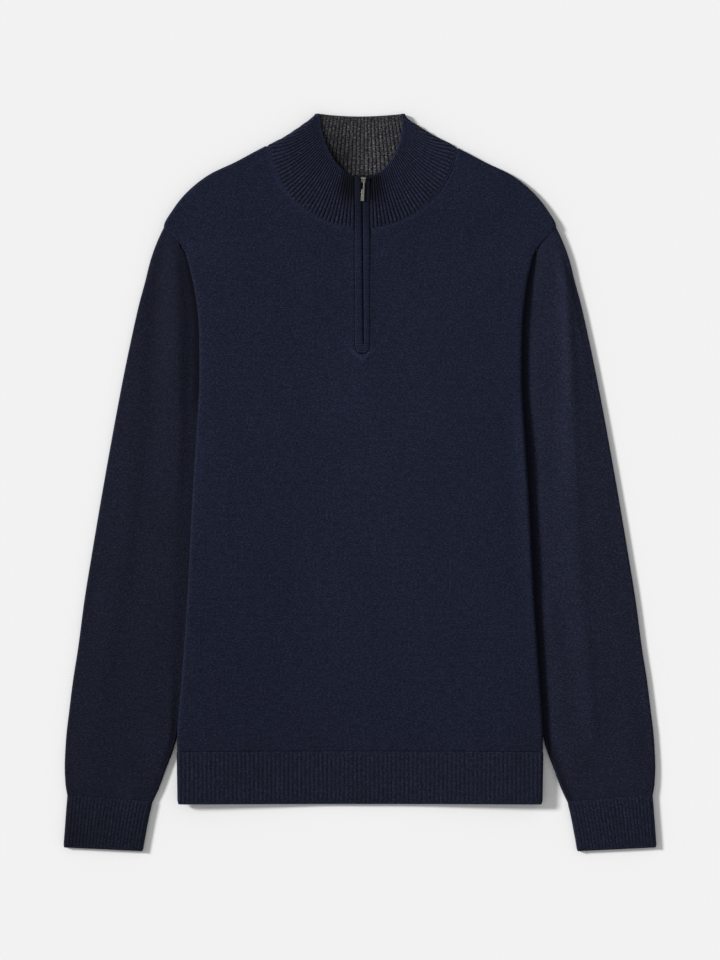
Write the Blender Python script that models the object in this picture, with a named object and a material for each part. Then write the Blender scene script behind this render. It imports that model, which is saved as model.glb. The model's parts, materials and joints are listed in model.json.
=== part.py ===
"""Quarter zip sweater, lying flat on its back with its sides folded under.

Everything below is in millimetres on the garment: x runs across from the
middle, y runs up from the bottom of the hem, z up from the surface that the
sweater lies on. The meshes are written in metres, and moved along y so that
the origin is in the middle of the sweater. Left is the wearer's left, at +x.
"""
import math

import bmesh
import bpy
from mathutils import Vector

MM = 0.001

# ---------------------------------------------------------------- sizes, mm
SEAM = 0.4              # clearance between two pieces at a seam
KNIT = 2.5              # wall of the front and back
SLEEVE_KNIT = 2.2       # wall of the sleeves
RIB_KNIT = 2.8          # wall of hem and cuffs
COLLAR_KNIT = 3.0       # wall of the doubled collar
RIB_RELIEF = 0.8        # from the bottom of a rib's valley to its crest

AXIS_X = 2.4            # neck and zip sit this far from the middle
NECK_H = 7.6            # height of the front at the collar
HEM_TOP = 55.5          # height of the hem band
CUFF_LOW = -49.0        # lowest point of the cuffs
COLLAR_TOP = 719.76     # highest point of the collar
MID_Y = (CUFF_LOW + COLLAR_TOP) / 2

ROLL_RADIUS = 2.75      # radius of a folded edge, to the middle of the wall
ROLL_TUCK = 7.0         # how far a folded edge runs back underneath
SLOPE_WIDTH = 85.0      # the front slopes up over the folded sides in this

NECK_HALF = 99.0        # the front neck seam is half an ellipse
NECK_DEPTH = 95.0
NECK_CENTRE_Y = 695.0
BACK_NECK_Y = 655.0     # lowest point of the back neck seam
NECK_END = {-1: math.radians(82.8), 1: math.radians(81.3)}    # at the side folds

SLOT_HALF = 8.2         # the front is open this far each side of the zip
SLOT_BOTTOM = 470.0

HEM_RIBS = 85
CUFF_RIBS = 22
COLLAR_RIBS = 30        # on each side of the zip
FACING_RIBS = 24

# the front's outer edge from hem to underarm and along the armhole seam, with
# the point of the middle line on the same row, the height of the cloth at the
# edge and in the middle, and how far the edge turns over
BODY_ROWS = [
    # edge_x, edge_y, middle_y, edge_h, middle_h, turn
    (190.9, 56.0, 56.0, 13.4, 6.0, 180),
    (190.7, 68.0, 72.0, 13.4, 5.9, 180),
    (185.4, 138.0, 140.0, 13.4, 5.8, 180),
    (180.2, 213.0, 215.0, 13.4, 5.8, 180),
    (174.9, 317.0, 318.0, 13.4, 5.8, 180),
    (170.2, 392.0, 395.0, 13.4, 6.1, 180),
    (167.6, 440.0, 442.0, 13.4, 6.6, 180),
    (167.4, 468.0, SLOT_BOTTOM, 13.4, 6.9, 180),
    (168.4, 505.0, 512.0, 13.4, 7.1, 180),
    (170.3, 523.0, 540.0, 13.4, 7.3, 180),
    (174.2, 545.0, 565.0, 12.6, 7.4, 135),
    (178.4, 562.5, 585.0, 10.9, 7.6, 85),
]
# the same for the rows that end on the neck seam, at an angle of its ellipse;
# one more row, beside the collar's fold, is added to them
YOKE_ROWS = [
    # edge_x, edge_y, neck_angle, edge_h, middle_h, turn
    (181.5, 575.0, 5.0, 9.0, 7.6, 40),
    (188.8, 586.7, 14.0, 7.7, 7.6, 12),
    (196.1, 594.0, 22.0, 7.6, 7.6, 12),
    (201.5, 599.0, 28.5, 7.6, 7.6, 15),
    (204.6, 602.6, 33.0, 7.6, 7.6, 60),
    (195.0, 621.2, 44.0, 7.6, 7.6, 90),
    (179.9, 639.6, 54.0, 7.6, 7.6, 90),
    (157.5, 657.2, 63.0, 7.6, 7.6, 90),
    (130.4, 670.2, 72.0, 7.6, 7.6, 90),
    (113.6, 679.2, 77.5, 7.6, 7.6, 90),
]
# the back's outer edge: it narrows where the sides are folded under
BACK_ROWS = [
    # edge_x, edge_y, middle_y
    (145.0, 56.0, 56.0),
    (130.0, 150.0, 150.0),
    (112.0, 270.0, 270.0),
    (95.0, 390.0, 390.0),
    (85.0, 470.0, 470.0),
    (86.0, 500.0, 505.0),
    (105.0, 535.0, 545.0),
    (140.6, 558.6, 575.0),
    (168.6, 552.6, 594.0),
    (174.6, 563.6, 604.0),
    (181.3, 577.4, 614.0),
    (203.6, 603.8, 640.0),
]
# the back rows that end on the back neck seam
BACK_YOKE_ROWS = [
    # edge_x, edge_y, neck_share
    (203.0, 605.4, 0.0),
    (194.2, 620.8, 0.25),
    (179.2, 639.0, 0.5),
    (157.0, 656.5, 0.7),
    (130.0, 669.6, 0.86),
    (113.0, 678.6, 0.94),
]
# each sleeve row runs from the outer edge to the edge tucked under the body
SLEEVE_ROWS = [
    # outer_x, outer_y, inner_x, inner_y, outer_r, crown
    (205.3, 601.9, 182.7, 573.9, 3.7, 0.4),
    (210.8, 590.0, 171.5, 555.0, 3.3, 1.6),
    (218.7, 568.0, 162.0, 530.0, 3.0, 2.8),
    (224.5, 545.0, 156.0, 505.0, 2.7, 4.0),
    (230.5, 523.0, 152.0, 480.0, 2.6, 4.8),
    (238.6, 487.0, 150.0, 450.0, 2.6, 5.2),
    (245.7, 453.0, 150.0, 420.0, 2.6, 5.2),
    (254.9, 405.0, 152.0, 378.0, 2.6, 5.2),
    (263.6, 357.0, 155.0, 335.0, 2.6, 4.8),
    (270.5, 317.6, 157.5, 298.0, 2.6, 5.0),
    (279.9, 262.0, 161.5, 245.0, 2.6, 4.8),
    (287.8, 213.0, 167.0, 199.0, 2.6, 4.8),
    (294.6, 161.7, 175.0, 150.0, 2.6, 4.8),
    (299.6, 130.0, 180.6, 120.0, 2.6, 4.8),
    (303.6, 98.0, 186.8, 89.0, 2.6, 4.8),
    (307.0, 68.0, 193.2, 62.0, 2.6, 4.8),
    (308.4, 38.0, 203.0, 35.0, 2.7, 4.2),
    (307.5, 20.0, 210.0, 16.0, 2.8, 2.8),
    (305.9, 10.6, 216.0, 3.4, 2.9, 0.9),
]
SWELL = {-1: 1.0, 1: 0.55}      # share of the crown that each sleeve has
DIVE = {-1: 14.0, 1: 18.0}      # each dives under the body's edge in this width
# the sleeves' top edges bow out to the armhole seam
ARMHOLE_BOW = [
    # share from the inner end, distance
    (0.0, 0.8), (0.2, 1.7), (0.383, 2.45), (0.669, 1.35), (0.871, 0.3), (1.0, 0.15),
]
BOW_FADE = 30.0                 # the bow dies out in this distance down the sleeve
# the long folds pressed into each sleeve: a trough and a ridge beside the body
# in the right one, a ramp with a crest in the left one. Each line's first fold
# also sets where the columns of the sleeve lie.
SLEEVE_FOLDS = {
    # x, y, height, width towards the body, width towards the outer edge
    -1: [
        [(203.0, 588.0, -0.6, 6.0, 6.0), (207.0, 547.0, -3.0, 9.0, 8.5),
         (213.0, 474.0, -3.6, 14.0, 10.0), (221.0, 370.0, -2.8, 26.0, 10.0),
         (233.0, 265.0, -1.8, 30.0, 9.0), (252.0, 161.0, -1.3, 30.0, 9.0),
         (262.0, 88.0, 0.0, 20.0, 9.0)],
        [(197.0, 585.0, 0.0, 8.0, 8.0), (193.5, 547.0, 2.0, 9.0, 10.0),
         (193.0, 474.0, 2.4, 10.0, 13.0), (191.0, 420.0, 1.3, 10.0, 14.0),
         (190.0, 370.0, 0.4, 10.0, 14.0), (190.0, 330.0, 0.0, 10.0, 14.0)],
    ],
    1: [
        [(206.5, 580.0, 0.8, 6.0, 6.0), (211.7, 547.0, 3.8, 8.0, 10.0),
         (218.8, 474.0, 5.0, 8.0, 13.0), (222.8, 370.0, 4.6, 14.0, 15.0),
         (227.5, 265.0, 3.6, 18.0, 16.0), (237.2, 161.0, 3.0, 14.0, 13.0),
         (243.0, 88.0, 2.2, 12.0, 11.0), (247.0, 50.0, 0.0, 10.0, 8.0)],
    ],
}
CUFF_ROWS = [
    # outer_x, outer_y, inner_x, inner_y
    (305.5, 10.0, 216.5, 2.8),
    (306.5, -2.0, 219.0, -8.0),
    (308.0, -22.0, 222.8, -27.0),
    (309.4, -43.5, 226.4, -47.6),
    (309.0, -45.0, 227.2, -49.0),
]
# the folded side strips, from the sleeve's or body's edge in to the back's
FOLD_ROWS = [
    # outer_x, outer_y, inner_x, inner_y
    (188.4, 1.5, 147.2, 1.5),
    (188.8, 40.0, 146.6, 40.0),
    (188.6, 57.0, 146.2, 57.0),
    (184.6, 86.0, 141.2, 86.0),
    (178.6, 118.0, 136.1, 118.0),
    (173.2, 148.0, 131.4, 148.0),
    (165.2, 198.0, 124.0, 198.0),
    (159.9, 244.0, 117.0, 244.0),
    (155.9, 297.0, 109.7, 297.0),
    (153.4, 334.0, 104.2, 334.0),
    (150.4, 378.0, 98.0, 378.0),
    (148.4, 420.0, 92.5, 420.0),
    (148.4, 450.0, 88.8, 450.0),
    (150.3, 481.0, 86.8, 481.0),
    (154.3, 506.0, 88.4, 499.0),
    (160.3, 531.0, 107.2, 533.0),
    (167.8, 551.0, 142.0, 557.0),
]
# layers of folded cloth: height, how far the outline steps in there, and the
# nearest and farthest that the layer comes to the body's edge
FOLD_LAYERS = [
    # z, step, nearest, farthest
    (0.0, 1.0, 0.0, 200.0),
    (1.2, 0.0, 0.0, 200.0),
    (2.3, 1.0, 0.0, 200.0),
    (2.5, 1.0, 0.0, 60.0),
    (3.6, 0.0, 0.0, 60.0),
    (4.6, 1.0, 0.0, 60.0),
    (4.8, 1.0, 12.0, 36.0),
    (5.8, 0.0, 12.0, 36.0),
    (6.8, 1.0, 12.0, 36.0),
]

COLLAR_AXIS_Z = 3.7     # height of the collar's side folds
COLLAR_BACK_KNIT = 2.4
COLLAR_ROLL = 2.5
COLLAR_CROWN = 0.9      # the front of the collar bulges up this much
COLLAR_HOLLOW = 1.9     # its side outline curves in this much
COLLAR_INSET = 0.9      # its seam edge lies this far inside the front's
FOLD_REACH = 4.9        # the shoulder ends this far out from the neck seam
FOLD_HEAD_X = {-1: -43.8, 1: 42.8}
FOLD_HEAD_Y = 717.2
OPENING_DEPTH = 63.0    # the opening's front edge hangs this far down
OPENING_TUCK = {-1: 4.6, 1: 0.8}    # its edge lies this far inside an ellipse
COLLAR_BACK_DIP = 0.4   # the back's top edge dips this much in the middle

BAND_TOP = 654.6        # the knitted bands along the zip
BAND_BOTTOM = 470.6
SLIT_LEAN = 1.7         # the slit drifts this far over the zip's length
TAPE_HALF = 11.0
CHAIN_HALF = 2.1
ZIP_BOTTOM = 474.0
CHAIN_TOP = 642.0
TAPE_TOP = 651.0

SLIDER_HALF = 3.7       # the slider's body
SLIDER_LOW = 643.0
SLIDER_TOP = 655.4
CROWN_LOW = 650.0       # its crown stands between the bands
CROWN_TOP = 655.0
PULL_X = 3.3            # middle of slider and pull
PIN_Y = 652.6           # the pin that the pull turns on
PIN_Z = NECK_H + 2.6
PIN_RADIUS = 0.5
EYE_HOLE = 0.85         # the pull's eye
EYE_RADIUS = 1.5
LUG_RADIUS = 1.5        # the lugs that hold the pin
LUG_HALF = 2.8          # from the middle to a lug's outer face
LUG_GAP = 1.5           # from the middle to its inner face
PULL_PLAY = 0.35        # between the pull and a lug
NECK_THICK = 1.1        # the pull's neck
BAR_HALF = 2.3          # the pull's bar
BAR_LENGTH = 12.9
BAR_START = 10.3        # from the pin to the bar
BAR_THICK = 1.3

COLOURS = {
    # name: (sRGB hex, roughness, metallic)
    "navy knit": ("1f2436", 0.92, 0.0),
    "charcoal knit": ("38383b", 0.92, 0.0),
    "navy tape": ("14161f", 0.8, 0.0),
    "dark nylon": ("191a20", 0.5, 0.0),
    "brushed nickel": ("a9a79c", 0.32, 1.0),
}


# ------------------------------------------------------------------ helpers
def clear_scene():
    for thing in list(bpy.data.objects):
        bpy.data.objects.remove(thing, do_unlink=True)


def material(name):
    """A Principled material of one of the colours above."""
    found = bpy.data.materials.get(name)
    if found:
        return found
    code, roughness, metallic = COLOURS[name]
    channels = [int(code[i:i + 2], 16) / 255 for i in (0, 2, 4)]
    linear = [((c + 0.055) / 1.055) ** 2.4 if c > 0.04045 else c / 12.92 for c in channels]
    made = bpy.data.materials.new(name)
    made.use_nodes = True
    shader = made.node_tree.nodes["Principled BSDF"]
    shader.inputs["Base Color"].default_value = (*linear, 1.0)
    shader.inputs["Roughness"].default_value = roughness
    shader.inputs["Metallic"].default_value = metallic
    made.diffuse_color = (*linear, 1.0)
    return made


def add_object(name, mesh_data, colour):
    thing = bpy.data.objects.new(name, mesh_data)
    thing.data.materials.append(material(colour))
    bpy.context.scene.collection.objects.link(thing)
    return thing


def solid(name, points, faces, colour, smooth=40.0):
    """A closed body from points in garment millimetres and faces of indices."""
    data = bpy.data.meshes.new(name)
    shape = bmesh.new()
    corners = [shape.verts.new((x * MM, (y - MID_Y) * MM, z * MM)) for x, y, z in points]
    for face in faces:
        shape.faces.new([corners[i] for i in face])
    loose = [v for v in shape.verts if not v.link_faces]
    bmesh.ops.delete(shape, geom=loose, context='VERTS')
    bmesh.ops.recalc_face_normals(shape, faces=shape.faces[:])
    shape.to_mesh(data)
    shape.free()
    data.shade_smooth()
    data.set_sharp_from_angle(angle=math.radians(smooth))
    return add_object(name, data, colour)


def sheet_solid(name, upper, lower, colour, keep=None):
    """A wall between two grids of points, rows of equal length.

    keep(row, column) says whether a cell is cloth; the rest is left open.
    """
    rows = len(upper)
    columns = len(upper[0])
    points = [p for row in upper for p in row] + [p for row in lower for p in row]
    under = rows * columns

    def at(row, column):
        return row * columns + column

    def cloth(row, column):
        inside = 0 <= row < rows - 1 and 0 <= column < columns - 1
        return inside and (keep is None or keep(row, column))

    faces = []
    for r in range(rows - 1):
        for c in range(columns - 1):
            if not cloth(r, c):
                continue
            quad = [at(r, c), at(r, c + 1), at(r + 1, c + 1), at(r + 1, c)]
            faces.append(quad)
            faces.append([i + under for i in reversed(quad)])
            sides = (
                (r - 1, c, quad[0], quad[1]),
                (r, c + 1, quad[1], quad[2]),
                (r + 1, c, quad[2], quad[3]),
                (r, c - 1, quad[3], quad[0]),
            )
            for next_r, next_c, a, b in sides:
                if not cloth(next_r, next_c):
                    faces.append([b, a, a + under, b + under])
    return solid(name, points, faces, colour)


def loft(name, rings, colour, smooth=40.0):
    """A closed body through rings of points, with flat ends."""
    count = len(rings[0])
    points = [p for ring in rings for p in ring]
    faces = [list(range(count)), list(range((len(rings) - 1) * count, len(rings) * count))]
    for k in range(len(rings) - 1):
        for i in range(count):
            j = (i + 1) % count
            faces.append([k * count + i, k * count + j, (k + 1) * count + j, (k + 1) * count + i])
    return solid(name, points, faces, colour, smooth)


def tube(name, outer, inner, colour):
    """A wall between outer and inner rings, open at both ends."""
    count = len(outer[0])
    points = [p for ring in outer for p in ring] + [p for ring in inner for p in ring]
    under = len(outer) * count
    faces = []
    for k in range(len(outer) - 1):
        for i in range(count):
            j = (i + 1) % count
            quad = [k * count + i, k * count + j, (k + 1) * count + j, (k + 1) * count + i]
            faces.append(quad)
            faces.append([v + under for v in reversed(quad)])
    for k in (0, len(outer) - 1):
        for i in range(count):
            a = k * count + i
            b = k * count + (i + 1) % count
            faces.append([a, b, b + under, a + under])
    return solid(name, points, faces, colour)


def ease(t):
    """Smooth step from 0 to 1."""
    t = min(max(t, 0.0), 1.0)
    return t * t * (3 - 2 * t)


def mix(a, b, t):
    return a + (b - a) * t


def even_steps(curve, count, start=0.0, end=1.0):
    """Points of curve(t) at equal distances along it, count steps."""
    fine = 400
    dense = [Vector(curve(mix(start, end, i / fine))) for i in range(fine + 1)]
    run = [0.0]
    for a, b in zip(dense, dense[1:]):
        run.append(run[-1] + (b - a).length)
    picked = []
    k = 0
    for step in range(count + 1):
        want = run[-1] * step / count
        while k < fine - 1 and run[k + 1] < want:
            k += 1
        share = (want - run[k]) / (run[k + 1] - run[k])
        picked.append(dense[k].lerp(dense[k + 1], share))
    return picked


def neck_point(side, angle, shrink=0.0):
    """The front neck seam; angle 0 is at the zip, 90 degrees at the side."""
    x = AXIS_X + side * (NECK_HALF - shrink) * math.sin(angle)
    y = NECK_CENTRE_Y - (NECK_DEPTH - shrink) * math.cos(angle)
    return Vector((x, y))


def back_neck_point(side, share, shrink=0.0):
    """The back neck seam, from its middle to the end of the front's seam."""
    foot = neck_point(side, NECK_END[side])
    x = mix(0.0, foot.x, share)
    y = mix(BACK_NECK_Y, foot.y, share ** 2.2) + shrink
    return Vector((x, y))


def fold_line(side):
    """Foot and head of the collar's side fold, and the way that it faces."""
    foot = neck_point(side, NECK_END[side], COLLAR_INSET)
    head = Vector((FOLD_HEAD_X[side], FOLD_HEAD_Y))
    along = (foot - head).normalized()
    return foot, head, Vector((-along.y * side, along.x * side))


def shoulder_end(side):
    """Where the shoulder meets the collar's fold."""
    return neck_point(side, NECK_END[side]) + fold_line(side)[2] * FOLD_REACH


def body_edge_x(y):
    """Half width of the body at a height."""
    rows = [(190.1, 0.0)] + [(row[0], row[1]) for row in BODY_ROWS + YOKE_ROWS[:1]]
    for (x0, y0), (x1, y1) in zip(rows, rows[1:]):
        if y0 <= y <= y1:
            return mix(x0, x1, (y - y0) / (y1 - y0))
    return rows[0][0] if y < 0 else rows[-1][0]


def edge_normals(edge, side):
    """Outward directions of an edge that runs up from the hem."""
    normals = []
    for i in range(len(edge)):
        before = edge[max(i - 1, 0)]
        after = edge[min(i + 1, len(edge) - 1)]
        along = (after - before).normalized()
        normals.append(Vector((side * along.y, -side * along.x)))
    return normals


# ------------------------------------------------------- panels with a roll
def rolled_row(start, edge, normal, heights, turn, wall, flat_shares, arc_steps):
    """Mid-wall points and wall directions of one row of a panel.

    The row runs flat from start towards the edge, turns down by turn degrees
    in an arc, and past a quarter turn runs back underneath.
    """
    middle_h, edge_h = heights
    reach = (ROLL_RADIUS + wall / 2) * math.sin(math.radians(min(turn, 90)))
    brink = edge - normal * reach
    length = (brink - start).length
    mids = []
    for share in flat_shares:
        spot = start.lerp(brink, share)
        from_edge = length * (1 - share)
        h = mix(middle_h, edge_h, ease(1 - from_edge / SLOPE_WIDTH))
        mids.append((Vector((spot.x, spot.y, h - wall / 2)), Vector((0, 0, 1))))
    out = Vector((normal.x, normal.y, 0))
    hub = Vector((brink.x, brink.y, edge_h - wall / 2 - ROLL_RADIUS))
    for step in range(1, arc_steps + 1):
        angle = math.radians(turn) * step / arc_steps
        way = out * math.sin(angle) + Vector((0, 0, math.cos(angle)))
        mids.append((hub + way * ROLL_RADIUS, way))
    last, way = mids[-1]
    back = ROLL_TUCK * max(0.0, (turn - 150) / 30) + 0.4
    ahead = out * math.cos(math.radians(turn)) + Vector((0, 0, -math.sin(math.radians(turn))))
    mids.append((last + ahead * back, way))
    return mids


FLAT_SHARES = [0.0, 0.2, 0.42, 0.6, 0.75, 0.88, 1.0]
ARC_STEPS = 5


def front_side_rows(side):
    edge = [Vector((side * row[0], row[1])) for row in BODY_ROWS + YOKE_ROWS]
    edge.append(shoulder_end(side))
    normals = edge_normals(edge, side)
    normals[-1] = fold_line(side)[2]
    rows = []
    for i, (_, _, middle_y, edge_h, middle_h, turn) in enumerate(BODY_ROWS):
        start = Vector((AXIS_X + side * SLOT_HALF, middle_y))
        rows.append((start, edge[i], normals[i], (middle_h, edge_h), turn))
    for k, (_, _, angle, edge_h, middle_h, turn) in enumerate(YOKE_ROWS):
        i = len(BODY_ROWS) + k
        start = neck_point(side, math.radians(angle))
        rows.append((start, edge[i], normals[i], (middle_h, edge_h), turn))
    rows.append((neck_point(side, NECK_END[side]), edge[-1], normals[-1], (NECK_H, NECK_H), 90))
    return [rolled_row(*row, KNIT, FLAT_SHARES, ARC_STEPS) for row in rows]


def wall_faces(mids, wall):
    """Upper and lower points of a wall from its mid points."""
    upper = [tuple(p + way * (wall / 2)) for p, way in mids]
    lower = [tuple(p - way * (wall / 2)) for p, way in mids]
    return upper, lower


def build_front():
    right = front_side_rows(-1)
    left = front_side_rows(1)
    upper = []
    lower = []
    for right_row, left_row in zip(right, left):
        up, down = wall_faces(list(reversed(right_row)) + left_row, KNIT)
        upper.append(up)
        lower.append(down)
    middle = len(right[0]) - 1
    slot_row = [row[2] for row in BODY_ROWS].index(SLOT_BOTTOM)

    def is_cloth(row, column):
        return column != middle or row < slot_row

    sheet_solid("front_panel", upper, lower, "navy knit", is_cloth)


def back_grid():
    """Upper and lower points of the back, rows of points that may coincide."""
    shares = [0.0, 0.45, 0.8, 1.0]
    upper = []
    lower = []
    halves = {}
    for side in (-1, 1):
        rows = [(Vector((0.0, my)), Vector((side * ex, ey))) for ex, ey, my in BACK_ROWS]
        for ex, ey, share in BACK_YOKE_ROWS:
            rows.append((back_neck_point(side, share, -SEAM), Vector((side * ex, ey))))
        neck = back_neck_point(side, 1.0, -SEAM)
        rows.append((neck, neck + fold_line(side)[2] * (FOLD_REACH - 0.3)))
        halves[side] = [[start.lerp(edge, share) for share in shares] for start, edge in rows]
    for right_row, left_row in zip(halves[-1], halves[1]):
        line = list(reversed(right_row)) + left_row
        upper.append([(p.x, p.y, KNIT) for p in line])
        lower.append([(p.x, p.y, 0.0) for p in line])
    return upper, lower


def build_back():
    """The back; its left and right halves share their points in the middle."""
    upper, lower = back_grid()
    half = len(upper[0]) // 2
    points = []
    index = {}

    def corner(p):
        key = (round(p[0], 4), round(p[1], 4), round(p[2], 4))
        if key not in index:
            index[key] = len(points)
            points.append(p)
        return index[key]

    faces = []
    border = {}

    def add(face):
        clean = [v for k, v in enumerate(face) if v != face[k - 1]]
        if len(set(clean)) >= 3:
            faces.append(clean)
            return clean
        return []

    for r in range(len(upper) - 1):
        for c in range(len(upper[0]) - 1):
            if c == half - 1:
                continue
            cells = ((r, c), (r, c + 1), (r + 1, c + 1), (r + 1, c))
            top = add([corner(upper[i][j]) for i, j in cells])
            add([corner(lower[i][j]) for i, j in reversed(cells)])
            for k in range(len(top)):
                pair = (top[k - 1], top[k])
                if (pair[1], pair[0]) in border:
                    del border[(pair[1], pair[0])]
                else:
                    border[pair] = True
    for a, b in border:
        x, y, _ = points[a]
        u, v, _ = points[b]
        faces.append([b, a, corner((x, y, 0.0)), corner((u, v, 0.0))])
    solid("back_panel", points, faces, "navy knit")


# --------------------------------------------------------- sleeves and cuffs
def along_table(rows, at, column, wanted):
    """Value of a column where the table's other column, at, has a value."""
    pairs = sorted((row[at], row[column]) for row in rows)
    if wanted <= pairs[0][0]:
        return pairs[0][1]
    for (a, low), (b, high) in zip(pairs, pairs[1:]):
        if wanted <= b:
            return mix(low, high, (wanted - a) / (b - a))
    return pairs[-1][1]


def flat_ring(outer, inner, radii, wall, heights, relief=None, bow=0.0):
    """Outer and inner ring of a flat tube that lies between two edges.

    heights is a list of (share, height) across the top, from the inner edge
    to the outer one; relief raises the outer points of the top; bow is how
    much of the armhole's bow the ring takes.
    """
    outer_r, inner_r = radii
    across = inner - outer
    width = across.length
    across = across.normalized()
    up = Vector((math.copysign(across.y, across.x), abs(across.x)))

    def spot(distance, z):
        place = outer + across * distance
        if bow:
            place = place + up * bow * along_table(ARMHOLE_BOW, 0, 1, 1 - distance / width)
        return (place.x, place.y, z)

    rings = []
    for cut in (0.0, wall):
        ring = [spot(outer_r, cut), spot(width * 0.5, cut), spot(width - inner_r, cut)]
        for degrees in (50, 90, 130):
            a = math.radians(degrees)
            r = inner_r - cut
            ring.append(spot(width - inner_r + r * math.sin(a), inner_r - r * math.cos(a)))
        for k, (share, height) in enumerate(heights):
            lift = relief[k] if relief and cut == 0.0 else 0.0
            ring.append(spot(mix(width - inner_r, outer_r, share), height - cut + lift))
        for degrees in (130, 90, 50):
            a = math.radians(degrees)
            r = outer_r - cut
            ring.append(spot(outer_r - r * math.sin(a), outer_r - r * math.cos(a)))
        rings.append(ring)
    return rings


INNER_R = 2.5
INNER_STEPS = [0.0, 0.16, 0.32, 0.47, 0.6, 0.72, 0.82, 0.91, 1.0]   # up to a sleeve's fold
OUTER_STEPS = [0.09, 0.2, 0.36, 0.55, 0.78, 1.0]                    # and from it outwards


def hidden_length(inner, outer):
    """How much of a sleeve row lies under the body, from its inner end."""
    steps = 200
    for i in range(steps):
        spot = inner.lerp(outer, i / steps)
        if spot.x > body_edge_x(spot.y):
            return (spot - inner).length
    return 0.0


def fold_lift(side, x, y):
    """Height that a sleeve's folds add at a place, x counted outwards."""
    total = 0.0
    for rows in SLEEVE_FOLDS[side]:
        line, height, inward, outward = (along_table(rows, 1, c, y) for c in (0, 2, 3, 4))
        width = outward if x > line else inward
        total += height * math.exp(-((x - line) / width) ** 2)
    return total


def build_sleeve(name, side):
    outer_rings = []
    inner_rings = []
    from_top = 0.0
    before = Vector(SLEEVE_ROWS[0][:2])
    for ox, oy, ix, iy, outer_r, crown in SLEEVE_ROWS:
        outer = Vector((ox, oy))
        inner = Vector((ix, iy))
        from_top += (outer - before).length
        before = outer
        width = (outer - inner).length
        tuck = hidden_length(inner, outer)
        run = width - INNER_R - outer_r
        line = along_table(SLEEVE_FOLDS[side][0], 1, 0, (oy + iy) / 2)
        split = min(max((line - ix) / (ox - ix), 0.35), 0.85)
        shares = [split * s for s in INNER_STEPS] + [mix(split, 1.0, s) for s in OUTER_STEPS]
        heights = []
        for share in shares:
            from_inner = run * share
            from_outer = run - from_inner
            rise_in = ease((from_inner - tuck) / DIVE[side])
            tilt = min(max((from_inner - tuck) / (run - tuck), 0.0), 1.0)
            base = mix(2 * INNER_R, 2 * outer_r, ease(from_inner / (tuck + 24)))
            bulge = SWELL[side] * crown * (0.8 * rise_in + 0.2 * tilt) * ease(from_outer / 10)
            spot = inner.lerp(outer, (INNER_R + from_inner) / width)
            lift = fold_lift(side, spot.x, spot.y) * rise_in
            lift *= ease(from_outer / 6) * ease(from_top / 12)
            heights.append((share, base + bulge + lift))
        one, two = flat_ring(Vector((side * ox, oy)), Vector((side * ix, iy)), (outer_r, INNER_R),
                             SLEEVE_KNIT, heights, bow=1 - ease(from_top / BOW_FADE))
        outer_rings.append(one)
        inner_rings.append(two)
    tube(name, outer_rings, inner_rings, "navy knit")


def build_cuff(name, side):
    steps = CUFF_RIBS * 2
    outer_rings = []
    inner_rings = []
    for k, (ox, oy, ix, iy) in enumerate(CUFF_ROWS):
        end = k == len(CUFF_ROWS) - 1
        radius = 3.0
        heights = []
        relief = []
        for i in range(steps + 1):
            share = i / steps
            bulge = 0.8 * math.sin(math.pi * share) * (0.3 if end else 1.0)
            heights.append((share, 2 * radius + bulge))
            crest = RIB_RELIEF / 2 if i % 2 else -RIB_RELIEF / 2
            relief.append(-0.6 if end else crest)
        outer = Vector((side * ox, oy))
        inner = Vector((side * ix, iy))
        one, two = flat_ring(outer, inner, (radius, radius), RIB_KNIT, heights, relief)
        outer_rings.append(one)
        inner_rings.append(two)
    tube(name, outer_rings, inner_rings, "navy knit")


# ----------------------------------------------------------------- hem band
HEM_ROWS = [
    # half_width, y, edge_h, middle_h, ribbed, thickness
    (189.7, 0.3, 13.1, 5.7, 0.0, 1.4),
    (190.1, 1.8, 13.6, 6.3, 1.0, RIB_KNIT),
    (190.9, HEM_TOP - SEAM, 13.6, 6.3, 1.0, RIB_KNIT),
]


def build_hem():
    upper = []
    lower = []
    columns = HEM_RIBS
    for half, y, edge_h, middle_h, ribbed, thick in HEM_ROWS:
        sides = []
        for side in (-1, 1):
            start = Vector((0.0, y))
            edge = Vector((side * half, y))
            shares = [i / (columns - 3) for i in range(columns - 2)]
            row = rolled_row(start, edge, Vector((side, 0)), (middle_h, edge_h), 180,
                             RIB_KNIT, shares, 5)
            sides.append(row)
        mids = list(reversed(sides[0]))[:-1] + sides[1]
        middle = len(sides[0]) - 1
        up = []
        down = []
        for k, (p, way) in enumerate(mids):
            crest = RIB_RELIEF / 2 if (k - middle) % 2 else -RIB_RELIEF / 2
            up.append(tuple(p + way * (thick / 2 + crest * ribbed)))
            down.append(tuple(p - way * (thick / 2)))
        upper.append(up)
        lower.append(down)
    sheet_solid("hem_front", upper, lower, "navy knit")
    half = BACK_ROWS[0][0]
    ring = [(-half, 0.6), (half, 0.6), (half, HEM_TOP - SEAM), (-half, HEM_TOP - SEAM)]
    rings = [[(x, y, z) for x, y in ring] for z in (0.0, RIB_KNIT)]
    loft("hem_back", rings, "navy knit")


# ------------------------------------------------------------- folded sides
def build_side_fold(name, side):
    rings = []
    last = len(FOLD_ROWS) - 1
    for z, step, nearest, farthest in FOLD_LAYERS:
        outside = []
        inside = []
        for k, (ox, oy, ix, iy) in enumerate(FOLD_ROWS):
            outer = Vector((ox, oy))
            inner = Vector((ix, iy))
            width = (inner - outer).length
            across = (inner - outer) / width
            hidden = body_edge_x(oy) - ox
            start = max(0.0, nearest - hidden) + step
            stop = min(width, farthest - hidden) - step
            stop = max(stop, start + 1)
            end = Vector((0, step if k == 0 else (-step if k == last else 0)))
            outside.append(outer + across * start + end)
            inside.append(outer + across * stop + end)
        outline = outside + list(reversed(inside))
        rings.append([(side * p.x, p.y, z) for p in outline])
    loft(name, rings, "navy knit")


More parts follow.
